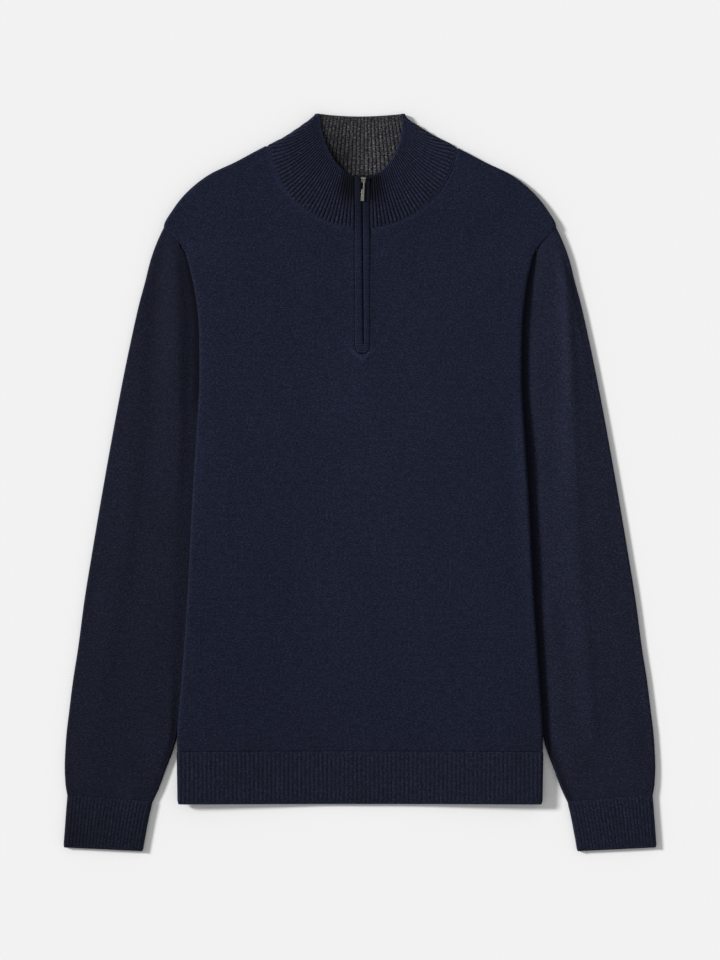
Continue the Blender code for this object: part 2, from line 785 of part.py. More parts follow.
# ------------------------------------------------------------------- collar
def opening_point(side, share):
    """The front top edge of the collar, from the zip at 0 to the fold at 1."""
    half = abs(FOLD_HEAD_X[side] - AXIS_X)
    angle = mix(math.asin((SLOT_HALF + 0.1) / half), math.pi / 2, share)
    tuck = OPENING_TUCK[side] * max(0.0, math.sin(math.pi * share)) ** 0.7
    x = AXIS_X + side * (half * math.sin(angle) - tuck)
    return Vector((x, FOLD_HEAD_Y - OPENING_DEPTH * math.cos(angle)))


def section(foot, head, out, turn, wall, crest, near_fold):
    """Ring of points of the collar's wall from its seam to its top edge.

    turn is 0 on the front, 180 degrees on the back, between them at a fold;
    near_fold is 1 at the fold, which curves in along its length.
    """
    a = math.radians(turn)
    way = Vector((out.x * math.sin(a), out.y * math.sin(a), math.cos(a)))

    def mid(q):
        hollow = COLLAR_HOLLOW * near_fold * math.sin(math.pi * q)
        plan = foot.lerp(head, q) - out * hollow
        spot = Vector((plan.x, plan.y, COLLAR_AXIS_Z)) + way * COLLAR_ROLL
        spot.z += COLLAR_CROWN * math.sin(math.pi * q) * max(0.0, math.cos(a))
        return spot

    ring = []
    for q, half, ribbed in ((0.0, 0.5, 0.4), (0.07, 0.5, 1), (0.36, 0.5, 1), (0.68, 0.5, 1),
                            (0.95, 0.46, 0.8), (1.0, 0.2, 0)):
        ring.append(tuple(mid(q) + way * (wall * half + crest * ribbed)))
    for q, half in ((1.0, 0.2), (0.95, 0.46), (0.5, 0.5), (0.0, 0.5)):
        ring.append(tuple(mid(q) - way * (wall * half)))
    return ring


def collar_half(side):
    """Sections from the zip round the side fold to the middle of the back."""
    foot_end, head_end, out = fold_line(side)
    steps = COLLAR_RIBS * 2
    start = math.asin((SLOT_HALF + 0.1) / NECK_HALF)
    feet = even_steps(lambda a: neck_point(side, a, COLLAR_INSET), steps, start, NECK_END[side])
    heads = even_steps(lambda share: opening_point(side, share), steps)
    sections = []
    for k in range(steps + 1):
        near_side = (k / steps) ** 4
        crest = RIB_RELIEF / 2 if k % 2 else -RIB_RELIEF / 2
        sections.append(section(feet[k], heads[k], out, 0, COLLAR_KNIT, crest, near_side))
    for turn in (45, 90, 135):
        wall = mix(COLLAR_KNIT, COLLAR_BACK_KNIT, turn / 180)
        sections.append(section(foot_end, head_end, out, turn, wall, 0, 1.0))
    for share in [1.0] + [row[2] for row in reversed(BACK_YOKE_ROWS)]:
        foot = back_neck_point(side, share, SEAM)
        foot = foot + (foot_end - back_neck_point(side, 1.0, SEAM)) * share
        head = Vector((head_end.x * share, head_end.y - COLLAR_BACK_DIP * (1 - share ** 2)))
        sections.append(section(foot, head, out, 180, COLLAR_BACK_KNIT, 0, share ** 4))
    return sections


def build_collar():
    left = collar_half(1)
    right = collar_half(-1)
    loft("collar", left + list(reversed(right))[1:], "navy knit")


def build_facing():
    """The inner collar's back, with its own ribs."""
    steps = FACING_RIBS * 2
    foot_half = 54.0
    head_half = 39.5
    upper = []
    lower = []
    for q, thick in ((0.0, 0.5), (0.03, 1.0), (0.97, 1.0), (1.0, 0.5)):
        up = []
        down = []
        for i in range(steps + 1):
            across = 2 * i / steps - 1
            foot_y = back_neck_point(1, abs(across) * foot_half / NECK_HALF, SEAM).y + 0.6
            head_y = FOLD_HEAD_Y - COLLAR_BACK_DIP * (1 - across ** 2) - 0.6
            x = mix(foot_half, head_half, q) * across
            crest = 0.3 if i % 2 else -0.3
            y = mix(foot_y, head_y, q)
            up.append((x, y, 2.7 + 1.3 * thick + (crest if thick == 1.0 else 0)))
            down.append((x, y, 2.7))
        upper.append(up)
        lower.append(down)
    sheet_solid("collar_facing", upper, lower, "charcoal knit")


# ---------------------------------------------------------------------- zip
def front_height(y):
    """Height of the front along the zip."""
    line = [(row[2], row[4]) for row in BODY_ROWS] + [(600.0, NECK_H), (700.0, NECK_H)]
    for (y0, h0), (y1, h1) in zip(line, line[1:]):
        if y0 <= y <= y1:
            return mix(h0, h1, (y - y0) / (y1 - y0))
    return line[0][1]


def slit_x(y):
    middle = (BAND_TOP + BAND_BOTTOM) / 2
    return AXIS_X + 0.5 + SLIT_LEAN * (middle - y) / (BAND_TOP - BAND_BOTTOM)


BAND_STATIONS = [
    # y, inner_from_slit, outer_from_axis, rise
    (BAND_BOTTOM, 0.25, 6.2, 0.5),
    (BAND_BOTTOM + 1.2, 0.25, 7.4, 1.2),
    (BAND_BOTTOM + 3.0, 0.25, 7.8, 1.6),
    (BAND_BOTTOM + 9.0, 0.3, 7.8, 1.6),
    (BAND_BOTTOM + 13.0, 0.7, 7.8, 1.6),
    (512.0, 0.7, 7.8, 1.6),
    (540.0, 0.7, 7.8, 1.6),
    (565.0, 0.7, 7.8, 1.6),
    (600.0, 0.7, 7.8, 1.6),
    (648.6, 0.7, 7.8, 1.6),
    (649.4, 3.3, 7.8, 1.6),
    (653.4, 3.3, 7.8, 1.4),
    (BAND_TOP, 3.6, 7.2, 0.6),
]


def build_band(name, side):
    rings = []
    for y, inner_gap, outer, rise in BAND_STATIONS:
        h = front_height(y)
        near = slit_x(y) + side * inner_gap
        if inner_gap > 3:
            near = PULL_X + side * inner_gap
        far = AXIS_X + side * outer
        bottom = h - 1.5
        top = h + rise
        ring = [
            (near + side * 0.5, bottom), (far - side * 0.5, bottom),
            (far, bottom + 0.6), (far, top - 1.1), (mix(near, far, 0.86), top - 0.3),
            (mix(near, far, 0.5), top), (mix(near, far, 0.14), top - 0.3),
            (near, top - 1.1), (near, bottom + 0.6),
        ]
        rings.append([(x, y, z) for x, z in ring])
    loft(name, rings, "navy knit")


def strip(name, half, bottom, top, low, high, colour):
    """A flat strip along the zip, between two depths below the front."""
    stations = [bottom, 512.0, 540.0, 565.0, 600.0, top]
    rings = []
    for y in stations:
        h = front_height(y)
        x = slit_x(y)
        corners = ((-half, low), (half, low), (half, high), (-half, high))
        rings.append([(x + u, y, h - v) for u, v in corners])
    loft(name, rings, colour)


def box(name, low, high, colour, bevel=0.0):
    xs, ys, zs = zip(low, high)
    points = [(x, y, z) for z in zs for y in ys for x in xs]
    faces = [(0, 1, 3, 2), (4, 6, 7, 5), (0, 4, 5, 1), (1, 5, 7, 3), (3, 7, 6, 2), (2, 6, 4, 0)]
    thing = solid(name, points, faces, colour)
    if bevel:
        rounding = thing.modifiers.new("edges", 'BEVEL')
        rounding.width = bevel * MM
        rounding.segments = 1
    return thing


def rod(name, radius, x_low, x_high, y, z, sides, colour):
    """A round bar along x."""
    rings = []
    for x in (x_low, x_high):
        ring = []
        for k in range(sides):
            a = 2 * math.pi * k / sides
            ring.append((x, y + radius * math.cos(a), z + radius * math.sin(a)))
        rings.append(ring)
    return loft(name, rings, colour, 50.0)


def fuse(base, other, operation='UNION'):
    """Join or cut base with another body, which stays as a hidden guide."""
    joined = base.modifiers.new(operation.lower(), 'BOOLEAN')
    joined.operation = operation
    joined.object = other
    joined.solver = 'EXACT'
    other.hide_render = True
    other.display_type = 'WIRE'


def build_slider():
    """Body under the bands, crown between them, and two lugs with the pin."""
    metal = "brushed nickel"
    body = box("zip_slider", (PULL_X - SLIDER_HALF, SLIDER_LOW, NECK_H - 2.5),
               (PULL_X + SLIDER_HALF, SLIDER_TOP, NECK_H - 1.8), metal)
    crown = box("slider_crown", (PULL_X - LUG_HALF, CROWN_LOW, NECK_H - 2.1),
                (PULL_X + LUG_HALF, CROWN_TOP, NECK_H + 0.6), metal, 0.4)
    fuse(body, crown)
    for side in (-1, 1):
        near, far = sorted((PULL_X + side * LUG_GAP, PULL_X + side * LUG_HALF))
        lug = rod(f"slider_lug_{side}", LUG_RADIUS, near, far, PIN_Y, PIN_Z, 16, metal)
        fuse(body, lug)
        cheek = box(f"slider_cheek_{side}", (near, PIN_Y - LUG_RADIUS + 0.05, NECK_H + 0.3),
                    (far, PIN_Y + LUG_RADIUS - 0.05, PIN_Z), metal)
        fuse(body, cheek)
    pin = rod("slider_pin", PIN_RADIUS, PULL_X - LUG_HALF + 0.3, PULL_X + LUG_HALF - 0.3,
              PIN_Y, PIN_Z, 12, metal)
    fuse(body, pin)


def build_pull():
    """An eye round the pin, a narrow neck and a flat bar."""
    metal = "brushed nickel"
    half = LUG_GAP - PULL_PLAY
    bar_top = PIN_Y - BAR_START
    pull = rod("zip_pull", EYE_RADIUS, PULL_X - half, PULL_X + half, PIN_Y, PIN_Z, 16, metal)
    neck = box("pull_neck", (PULL_X - half, bar_top - 0.4, PIN_Z - NECK_THICK / 2),
               (PULL_X + half, PIN_Y - EYE_HOLE - 0.05, PIN_Z + NECK_THICK / 2), metal)
    fuse(pull, neck)
    bar = box("pull_bar", (PULL_X - BAR_HALF, bar_top - BAR_LENGTH, PIN_Z - BAR_THICK / 2),
              (PULL_X + BAR_HALF, bar_top, PIN_Z + BAR_THICK / 2), metal, 0.3)
    fuse(pull, bar)
    hole = rod("pull_hole", EYE_HOLE, PULL_X - half - 1, PULL_X + half + 1, PIN_Y, PIN_Z, 16, metal)
    fuse(pull, hole, 'DIFFERENCE')


# -------------------------------------------------------------------- build
clear_scene()
build_front()
build_back()
build_hem()
for side_name, side_sign in (("left", 1), ("right", -1)):
    build_side_fold(f"side_fold_{side_name}", side_sign)
    build_sleeve(f"sleeve_{side_name}", side_sign)
    build_cuff(f"cuff_{side_name}", side_sign)
    build_band(f"zip_band_{side_name}", side_sign)
build_collar()
build_facing()
strip("zip_tape", TAPE_HALF, ZIP_BOTTOM, TAPE_TOP, 3.6, 2.9, "navy tape")
strip("zip_chain", CHAIN_HALF, ZIP_BOTTOM + 2, CHAIN_TOP, 2.6, 1.8, "dark nylon")
build_slider()
build_pull()
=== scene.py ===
# %% [markdown]
# # A quarter zip sweater, laid flat
# The sweater lies on its back on a pale table, with its body sides folded under
# and its sleeves straight down beside it. The hard-edged solids come from the
# frame. This lesson gives each of them the look of fine wool knitting: thin
# closed shells with soft folds and real ribs, and materials with stitches.

# %% Load the frame
import json
import math

import bmesh
import bpy
import numpy as np
from mathutils import Matrix, Vector

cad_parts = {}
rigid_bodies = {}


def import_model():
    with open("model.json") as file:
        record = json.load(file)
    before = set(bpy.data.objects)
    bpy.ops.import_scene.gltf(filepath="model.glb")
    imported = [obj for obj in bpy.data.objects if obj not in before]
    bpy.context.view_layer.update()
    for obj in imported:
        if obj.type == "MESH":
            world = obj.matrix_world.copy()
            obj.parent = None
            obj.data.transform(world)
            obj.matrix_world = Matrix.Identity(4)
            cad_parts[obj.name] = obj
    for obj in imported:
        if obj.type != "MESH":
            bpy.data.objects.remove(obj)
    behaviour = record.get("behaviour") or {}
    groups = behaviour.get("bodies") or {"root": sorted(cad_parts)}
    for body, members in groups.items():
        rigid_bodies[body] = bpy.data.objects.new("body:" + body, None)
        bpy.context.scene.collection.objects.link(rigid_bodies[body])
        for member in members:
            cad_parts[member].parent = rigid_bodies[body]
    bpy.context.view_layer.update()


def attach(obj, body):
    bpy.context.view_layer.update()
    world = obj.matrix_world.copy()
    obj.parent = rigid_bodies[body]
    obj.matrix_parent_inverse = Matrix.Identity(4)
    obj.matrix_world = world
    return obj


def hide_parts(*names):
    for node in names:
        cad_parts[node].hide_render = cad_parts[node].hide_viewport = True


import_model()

# %% [markdown]
# ## Units and tables
# A maker measures a sweater in millimetres from its middle and from the bottom
# of its hem, so every table here does the same. One function turns those
# measures into Blender's metres. Where a table has few rows, a curve through
# them gives the rows in between, and it never swings past the table's values.

# %% Millimetres on the garment
MM = 0.001
MID_Y = 335.38          # the frame's origin, above the hem's edge


def place(points):
    """Garment millimetres to metres in the frame."""
    moved = np.array(points, float) * MM
    moved[..., 1] -= MID_Y * MM
    return moved


def through(places, values, wanted):
    """Values at the wanted places, on a smooth curve through a table's rows."""
    t = np.asarray(places, float)
    v = np.asarray(values, float)
    run = np.diff(t)[:, None]
    slope = np.diff(v, axis=0) / run
    tangent = np.zeros_like(v)
    before, after = slope[:-1], slope[1:]
    level = before * after <= 0
    safe_before = np.where(level, 1.0, before)
    safe_after = np.where(level, 1.0, after)
    tangent[1:-1] = np.where(level, 0.0, 2 / (1 / safe_before + 1 / safe_after))
    tangent[0], tangent[-1] = slope[0], slope[-1]
    wanted = np.asarray(wanted, float)
    k = np.clip(np.searchsorted(t, wanted, side="right") - 1, 0, len(t) - 2)
    s = ((wanted - t[k]) / run[k, 0])[:, None]
    first = v[k] * (1 + 2 * s) * (1 - s) ** 2 + tangent[k] * run[k] * s * (1 - s) ** 2
    last = v[k + 1] * s * s * (3 - 2 * s) + tangent[k + 1] * run[k] * s * s * (s - 1)
    return first + last


def fill_in(places, gap):
    """The table's own places, and others between them about gap apart."""
    filled = []
    for a, b in zip(places, places[1:]):
        steps = max(1, round((b - a) / gap))
        filled.extend(a + (b - a) * i / steps for i in range(steps))
    return np.array(filled + [places[-1]])


def run_along(points):
    """Distance along a line of points, from its start."""
    steps = np.linalg.norm(np.diff(points, axis=0), axis=1)
    return np.concatenate(([0.0], np.cumsum(steps)))


def ease(t):
    """0 below 0, 1 above 1, and a soft S between."""
    t = np.clip(t, 0.0, 1.0)
    return t * t * (3 - 2 * t)


def mix(a, b, t):
    """From a at 0 to b at 1."""
    return a + (b - a) * t


def bell(distance, reach):
    """1 at no distance, falling softly to nothing in about twice the reach."""
    return np.exp(-(distance / reach) ** 2)


def window(y, low, high, fade_in, fade_out):
    """1 between two heights, fading in above the lower and out below the upper."""
    return ease((y - low) / fade_in) * ease((high - y) / fade_out)


def read_off(wanted, places, table):
    """Each column of a table at the wanted places, on straight lines between rows."""
    return np.column_stack([np.interp(wanted, places, column) for column in table.T])


SIDES = ((1, "left"), (-1, "right"))    # the wearer's left is +X
print("sizes in millimetres, origin", MID_Y, "above the hem")

# %% [markdown]
# ## Light, camera and table
# A flat garment is best seen from straight above, with a long lens so that
# nothing leans. One broad light from the left, a little towards the collar,
# draws the folds, and even light from all around keeps the shadows soft. A sun
# lamp with a wide angle lights every part of the table alike, which an area
# lamp near the table would not.

# %% Camera
PIXEL = 1.043           # millimetres of the garment in one pixel of the picture
FRAME_HEIGHT = 960 * PIXEL * MM
LENS = 135.0
SENSOR = 36.0
VIEW_Y, VIEW_Z = 0.00307, 0.007     # metres: the picture's middle, at half the sweater's height
camera_data = bpy.data.cameras.new("camera")
camera_data.lens = LENS
camera_data.sensor_width = SENSOR
camera_data.clip_end = 50       # metres
camera = bpy.data.objects.new("camera", camera_data)
bpy.context.scene.collection.objects.link(camera)
camera_height = FRAME_HEIGHT * LENS / SENSOR
camera.location = (0.0, VIEW_Y, camera_height + VIEW_Z)
bpy.context.scene.camera = camera
print("camera", round(camera_height, 2), "m above the table")

# %% Lights
KEY_FROM = (-1.0, 0.38, 0.64)       # where the key light stands
KEY_STRENGTH = 3.431
KEY_ANGLE = 11                      # degrees across, as a soft box gives
FILL_STRENGTH = 0.45
key_data = bpy.data.lights.new("key", 'SUN')
key_data.energy = KEY_STRENGTH
key_data.angle = math.radians(KEY_ANGLE)
key = bpy.data.objects.new("key", key_data)
key.rotation_euler = Vector(KEY_FROM).to_track_quat('Z', 'Y').to_euler()
bpy.context.scene.collection.objects.link(key)
world = bpy.data.worlds.new("studio")
world.use_nodes = True
world.node_tree.nodes["Background"].inputs["Color"].default_value = (1.0, 1.0, 1.0, 1.0)
world.node_tree.nodes["Background"].inputs["Strength"].default_value = FILL_STRENGTH
bpy.context.scene.world = world
bpy.context.scene.view_settings.view_transform = "Standard"
print("key light and even fill")

# %% [markdown]
# ## Materials
# Wool has almost no gloss. What the eye reads as wool is a matt surface, a
# faint pale bloom of loose fibres at grazing angles, and a yarn spun from
# fibres of several shades, so that every stitch differs a little. Plain
# knitting shows columns of small V shapes. A pattern that is worked out from
# the cloth's own flat coordinates, in millimetres, draws both.

# %% Colours and nodes
def linear(code):
    """An sRGB hex colour as Blender's linear colour."""
    parts = [int(code[i:i + 2], 16) / 255 for i in (0, 2, 4)]
    return (*(((c + 0.055) / 1.055) ** 2.4 if c > 0.04045 else c / 12.92 for c in parts), 1.0)


def add_node(tree, kind, inputs=None, **settings):
    """A node with its settings; an input is a value, a socket or a node's first output."""
    node = tree.nodes.new("ShaderNode" + kind)
    for key_name, value in settings.items():
        setattr(node, key_name, value)
    for socket, value in (inputs or {}).items():
        if isinstance(value, bpy.types.Node):
            value = value.outputs[0]
        if isinstance(value, bpy.types.NodeSocket):
            tree.links.new(value, node.inputs[socket])
        else:
            node.inputs[socket].default_value = value
    return node


def new_material(name, code, roughness):
    """A material with its shader, and the tree that its pattern goes in."""
    made = bpy.data.materials.new(name)
    made.use_nodes = True
    shader = made.node_tree.nodes["Principled BSDF"]
    shader.inputs["Base Color"].default_value = linear(code)
    shader.inputs["Roughness"].default_value = roughness
    made.diffuse_color = linear(code)
    return made, made.node_tree, shader


print("navy in linear light:", [round(part, 4) for part in linear("171b2d")[:3]])

# %% Heathered wool
HEM_PAINTED_SHADE = 0.77        # painted shade where the light falls off: this share of the yarn's lightness at the hem, above which it fades in
TOP_PAINTED_SHADE = 0.94        # and painted shade at the shoulders
HEM_FADE = (-0.3, 0.08)         # heights in metres between which each of them fades
TOP_FADE = (0.05, 0.25)
LEG_SLANT = -1.7        # rows that a leg of a V drops on its way across its column
FLECK_SCALE = (0.42, 0.85, 1.0)     # fibres of another shade, for each millimetre
STRAND_SCALE = (0.10, 0.24, 1.0)    # slower changes from strand to strand
FLECKS, PATCHES, MOTTLE, STITCHES = 2.6, 0.1, 0.35, 0.35    # what each adds to the shade
DARK_STOP, MIDDLE_STOP, LIGHT_STOP = 0.12, 0.56, 0.98   # of the shades, in the ramp


def wool(name, shades, wale, course, relief, melange=1.12, tone=1.0):
    """Knitted wool: shades are dark, middle and light; sizes in millimetres.

    wale is the width of one column of stitches, course the height of one row,
    and tone scales the yarn's lightness; for the sleeves and cuffs it is painted
    shade, lighter on one side than the other. The attribute hollow is painted
    shade and light: it turns the yarn to its dark shade at 1, and pales it below 0.
    """
    made, tree, shader = new_material(name, shades[1], 0.94)
    shader.inputs["Specular IOR Level"].default_value = 0.12
    shader.inputs["Sheen Weight"].default_value = 0.06
    shader.inputs["Sheen Roughness"].default_value = 0.55
    shader.inputs["Sheen Tint"].default_value = linear("8d95b5")
    flat = add_node(tree, "UVMap", uv_map="cloth")
    wander = add_node(tree, "TexNoise", {"Vector": flat, "Scale": 0.16, "Detail": 1.0})
    centred = add_node(tree, "VectorMath", {0: wander.outputs["Color"], 1: (0.5, 0.5, 0.5)},
                       operation='SUBTRACT')
    shifted = add_node(tree, "VectorMath", {0: centred, 1: (1.1, 1.1, 0.0), 2: flat},
                       operation='MULTIPLY_ADD')
    parts = add_node(tree, "SeparateXYZ", {0: shifted})
    bloom = add_node(tree, "TexNoise", {"Vector": flat, "Scale": 0.022, "Detail": 2.0})
    place_of = [add_node(tree, "Mapping", {"Vector": flat, "Scale": scale})
                for scale in (FLECK_SCALE, STRAND_SCALE)]
    yarn = add_node(tree, "TexNoise",
                    {"Vector": place_of[0], "Scale": 1.0, "Detail": 4.0, "Roughness": 0.75})
    strand = add_node(tree, "TexNoise", {"Vector": place_of[1], "Scale": 1.0, "Detail": 1.0})
    painted_shade = add_node(tree, "Attribute", attribute_name="painted_shade").outputs["Fac"]
    where = add_node(tree, "TexCoord").outputs["Object"]
    height = add_node(tree, "SeparateXYZ", {0: where}).outputs["Y"]
    # painted shade: the yarn is darker towards the hem and at the shoulders, where the light falls
    # off
    fades = [add_node(tree, "MapRange", {"Value": height, "From Min": low, "From Max": high,
                                         "To Min": first, "To Max": last})
             for (low, high), first, last in ((HEM_FADE, HEM_PAINTED_SHADE * tone, tone),
                                              (TOP_FADE, 1.0, TOP_PAINTED_SHADE))]
    step = {"x": parts.outputs["X"], "y": parts.outputs["Y"], "yarn": yarn, "bloom": bloom,
            "strand": strand, "painted_shade": painted_shade, "fade": fades[0], "top fade": fades[1]}
    for made_step, operation, *values in (
        # what each step makes, and from what
        ("column", 'MULTIPLY', "x", 1 / wale),
        ("leg", 'PINGPONG', "column", 0.5),
        ("row", 'MULTIPLY', "y", 1 / course),
        ("slant", 'MULTIPLY_ADD', "leg", LEG_SLANT, "row"),
        ("loop", 'PINGPONG', "slant", 0.5),
        ("across", 'MULTIPLY', "leg", 2 * math.pi),
        ("round leg", 'SINE', "across"),
        ("stitch", 'MULTIPLY', "loop", "round leg"),
        ("fleck", 'SUBTRACT', "yarn", 0.5),
        ("shade", 'MULTIPLY_ADD', "fleck", FLECKS * melange, 0.5),
        ("patch", 'SUBTRACT', "bloom", 0.5),
        ("shade", 'MULTIPLY_ADD', "patch", PATCHES, "shade"),
        ("mottle", 'SUBTRACT', "strand", 0.5),
        ("shade", 'MULTIPLY_ADD', "mottle", MOTTLE, "shade"),
        ("shade", 'MULTIPLY_ADD', "stitch", STITCHES, "shade"),
        ("raised", 'MULTIPLY', "painted_shade", -1.0),
        ("paler", 'MAXIMUM', "raised", 0.0),
        ("pale", 'ADD', "paler", 1.0),
        ("light", 'MULTIPLY', "fade", "pale"),
        ("light", 'MULTIPLY', "light", "top fade"),
        ("fuzz", 'MULTIPLY_ADD', "yarn", 0.5, "stitch"),
    ):
        inputs = {i: step.get(value, value) for i, value in enumerate(values)}
        step[made_step] = add_node(tree, "Math", inputs, operation=operation)
    ramp = add_node(tree, "ValToRGB", {"Fac": step["shade"]})
    stops = ramp.color_ramp.elements
    stops[0].position, stops[0].color = DARK_STOP, linear(shades[0])
    stops[1].position, stops[1].color = LIGHT_STOP, linear(shades[2])
    stops.new(MIDDLE_STOP).color = linear(shades[1])
    # painted shade from the attribute darkens the yarn here; below 0 the same attribute pales it
    # through the light step
    deep = add_node(tree, "Mix", {"Factor": painted_shade, "A": ramp.outputs["Color"],
                                  "B": linear(shades[0])}, data_type='RGBA')
    faded = add_node(tree, "VectorMath", {0: deep.outputs["Result"], 3: step["light"]},
                     operation='SCALE')
    tree.links.new(faded.outputs[0], shader.inputs["Base Color"])
    bump = add_node(tree, "Bump",
                    {"Height": step["fuzz"], "Strength": 0.8, "Distance": relief * MM})
    tree.links.new(bump.outputs["Normal"], shader.inputs["Normal"])
    return made


# Combed merino, spun from fibres dyed in several blues and lightly milled: matt and
# heathered, with the columns of stitches just showing. The ribs take the same yarn,
# with painted shade where they sink.
JERSEY_YARN = ("0c0f1a", "171b2d", "2b304a")
SLEEVE_YARN = ("0c0d16", "161928", "292d42")
CUFF_YARN = ("07090e", "1a1e2f", "30364e")
SLEEVE_PAINTED_SHADE = {-1: 0.92, 1: 1.18}   # painted shade: the right sleeve is painted darker and the left lighter, as the light falls on them
# painted shade of the cuffs: darker on the right than on the left
CUFF_PAINTED_SHADE = {-1: 0.77, 1: 0.94}
jersey = wool("heathered merino jersey", JERSEY_YARN, 1.5, 1.15, 0.45, tone=0.92)
rib_knit = wool("heathered merino rib", ("07080e", "1a1d2f", "30354e"), 1.5, 1.15, 0.35)
# Carded lambswool, undyed and charcoal fibres mixed: a dry surface with pale flecks.
facing_knit = wool("flecked lambswool rib", ("0b0b0c", "2a292c", "656468"), 1.2, 0.95, 0.4,
                   1.2, 1.02)
sleeve_knit, cuff_knit = {}, {}
# lit and shaded copies of one yarn, one for each sleeve and cuff, for their painted shade
for side, word in reversed(SIDES):
    sleeve_knit[side] = wool(f"heathered merino {word} sleeve", SLEEVE_YARN, 1.5, 1.15, 0.45,
                             tone=SLEEVE_PAINTED_SHADE[side])
    cuff_knit[side] = wool(f"heathered merino {word} cuff", CUFF_YARN, 1.5, 1.15, 0.35,
                           tone=CUFF_PAINTED_SHADE[side])
hem_knit = wool("heathered merino hem rib", CUFF_YARN, 1.5, 1.15, 0.35, tone=0.94)
# The same merino on finer needles: close and smooth.
edging_knit = wool("close knit edging", JERSEY_YARN, 1.1, 0.9, 0.3, 0.8, 1.28)
linking_yarn = wool("linking yarn", JERSEY_YARN, 1.1, 0.9, 0.3, 0.8, 1.5)
print("wool materials:", len(bpy.data.materials))

# %% [markdown]
# ## Shells of cloth
# Knitting is a wall a few millimetres thick. A shell has an outer grid of
# points, an inner grid, and a rim where it ends, so it is closed like a real
# wall. Each point also keeps its place on the flat cloth, as a UV map in
# millimetres, and the stitches follow that.

# %% Make a shell
def shell(name, upper, lower, cut, finish, painted_shade=None, keep=None, ring=False):
    """A closed wall between two grids; cut is each point's place on flat cloth.

    ring joins the last column to the first, and cut then has one column more.
    """
    upper, lower, cut = (np.asarray(a, float) for a in (upper, lower, cut))
    rows, columns = upper.shape[:2]
    under = rows * columns
    wide = columns if ring else columns - 1
    faces, spots = [], []

    def cell(r, c):
        inside = 0 <= r < rows - 1 and (ring or 0 <= c < wide)
        return inside and (keep is None or keep[r, c % columns])

    def corner(r, c):
        return r * columns + c % columns

    for r in range(rows - 1):
        for c in range(wide):
            if not cell(r, c):
                continue
            marks = ((r, c), (r, c + 1), (r + 1, c + 1), (r + 1, c))
            quad = [corner(*m) for m in marks]
            flat = [tuple(cut[m]) for m in marks]
            faces.append(quad)
            spots.extend(flat)
            faces.append([i + under for i in reversed(quad)])
            spots.extend(reversed(flat))
            borders = ((r - 1, c, 0), (r, c + 1, 1), (r + 1, c, 2), (r, c - 1, 3))
            for near_r, near_c, i in borders:
                if not cell(near_r, near_c):
                    a, b = quad[i], quad[(i + 1) % 4]
                    faces.append([b, a, a + under, b + under])
                    spots.extend((flat[(i + 1) % 4], flat[i], flat[i], flat[(i + 1) % 4]))
    points = place(np.concatenate((upper.reshape(-1, 3), lower.reshape(-1, 3))))
    used = np.zeros(len(points), bool)
    used[np.unique([i for face in faces for i in face])] = True
    number = np.cumsum(used) - 1
    faces = [[int(number[i]) for i in face] for face in faces]
    points = points[used]
    if painted_shade is not None:
        painted_shade = np.tile(np.asarray(painted_shade).reshape(-1), 2)[used]
    return cloth_object(name, points, faces, spots, finish, painted_shade)


# Soft patches of painted light and shade on the cloth
SHADE_PATCHES = [
    # x, y, reach across, reach along, shade: painted shade above 0, painted light below 0
    (112.0, 385.0, 60.0, 170.0, 0.15),
    (-25.0, 430.0, 35.0, 60.0, -0.08),
    (-35.0, 190.0, 70.0, 150.0, -0.08),
    (-52.0, 606.0, 40.0, 16.0, 0.12),
    (60.0, 606.0, 45.0, 16.0, 0.12),
    (169.0, 60.0, 20.0, 40.0, 0.12),
    (-214.0, 432.0, 18.0, 95.0, 0.2),
    (-219.0, 52.0, 14.0, 30.0, -0.25),
    (-242.0, 5.0, 12.0, 25.0, -0.2),
    (198.0, 81.0, 14.0, 45.0, -0.12),
    (-205.0, 515.0, 35.0, 30.0, 0.08),
    (205.0, 540.0, 35.0, 60.0, -0.08),
    (-203.0, 588.0, 20.0, 10.0, -0.16),
    (196.0, 588.0, 20.0, 10.0, -0.08),
    (-307.0, -42.0, 26.0, 30.0, 0.35),
]


def patch_shade(points):
    """Painted shade of soft patches, darker above 0 and paler below 0."""
    x, y = points[:, 0] / MM, points[:, 1] / MM + MID_Y
    return sum(shade * np.exp(-((x - at_x) / across) ** 2 - ((y - at_y) / along) ** 2)
               for at_x, at_y, across, along, shade in SHADE_PATCHES)


def cloth_object(name, points, faces, spots, finish, painted_shade=None):
    """A mesh of cloth from points in metres, its faces, and a UV for each corner."""
    mesh = bpy.data.meshes.new(name)
    mesh.from_pydata(points.tolist(), [], faces)
    uv = mesh.uv_layers.new(name="cloth")
    uv.data.foreach_set("uv", np.asarray(spots, float).reshape(-1))
    # every piece of cloth takes the painted patches and its own painted shade
    mark = mesh.attributes.new("painted_shade", 'FLOAT', 'POINT')
    mark.data.foreach_set("value", patch_shade(points) + (0.0 if painted_shade is None else painted_shade))
    work = bmesh.new()
    work.from_mesh(mesh)
    if work.calc_volume(signed=True) < 0:
        bmesh.ops.reverse_faces(work, faces=work.faces[:])
    work.to_mesh(mesh)
    work.free()
    mesh.materials.append(finish)
    mesh.shade_smooth()
    mesh.set_sharp_from_angle(angle=math.radians(65))
    thing = bpy.data.objects.new(name, mesh)
    bpy.context.scene.collection.objects.link(thing)
    return thing


print("soft patches:", len(SHADE_PATCHES))


def fit(thing, slot, *nodes, body="garment"):
    """The piece rides on a body, and the frame's parts that it replaces are hidden."""
    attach(thing, body)
    if nodes:
        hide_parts(*nodes)
    count = sum(len(p.vertices) - 2 for p in thing.data.polygons)
    print(f"{thing.name}: {count} triangles")
    return thing


# %% [markdown]
# ## Folds
# Laid cloth is never quite flat. A fold is drawn as a short table of stations
# along its line, each with its height, below zero for a trough, and its width
# to either side. The height fades with the distance from the line, so folds
# are soft and end softly. Slow waves of a few tenths of a millimetre keep the
# rest alive.

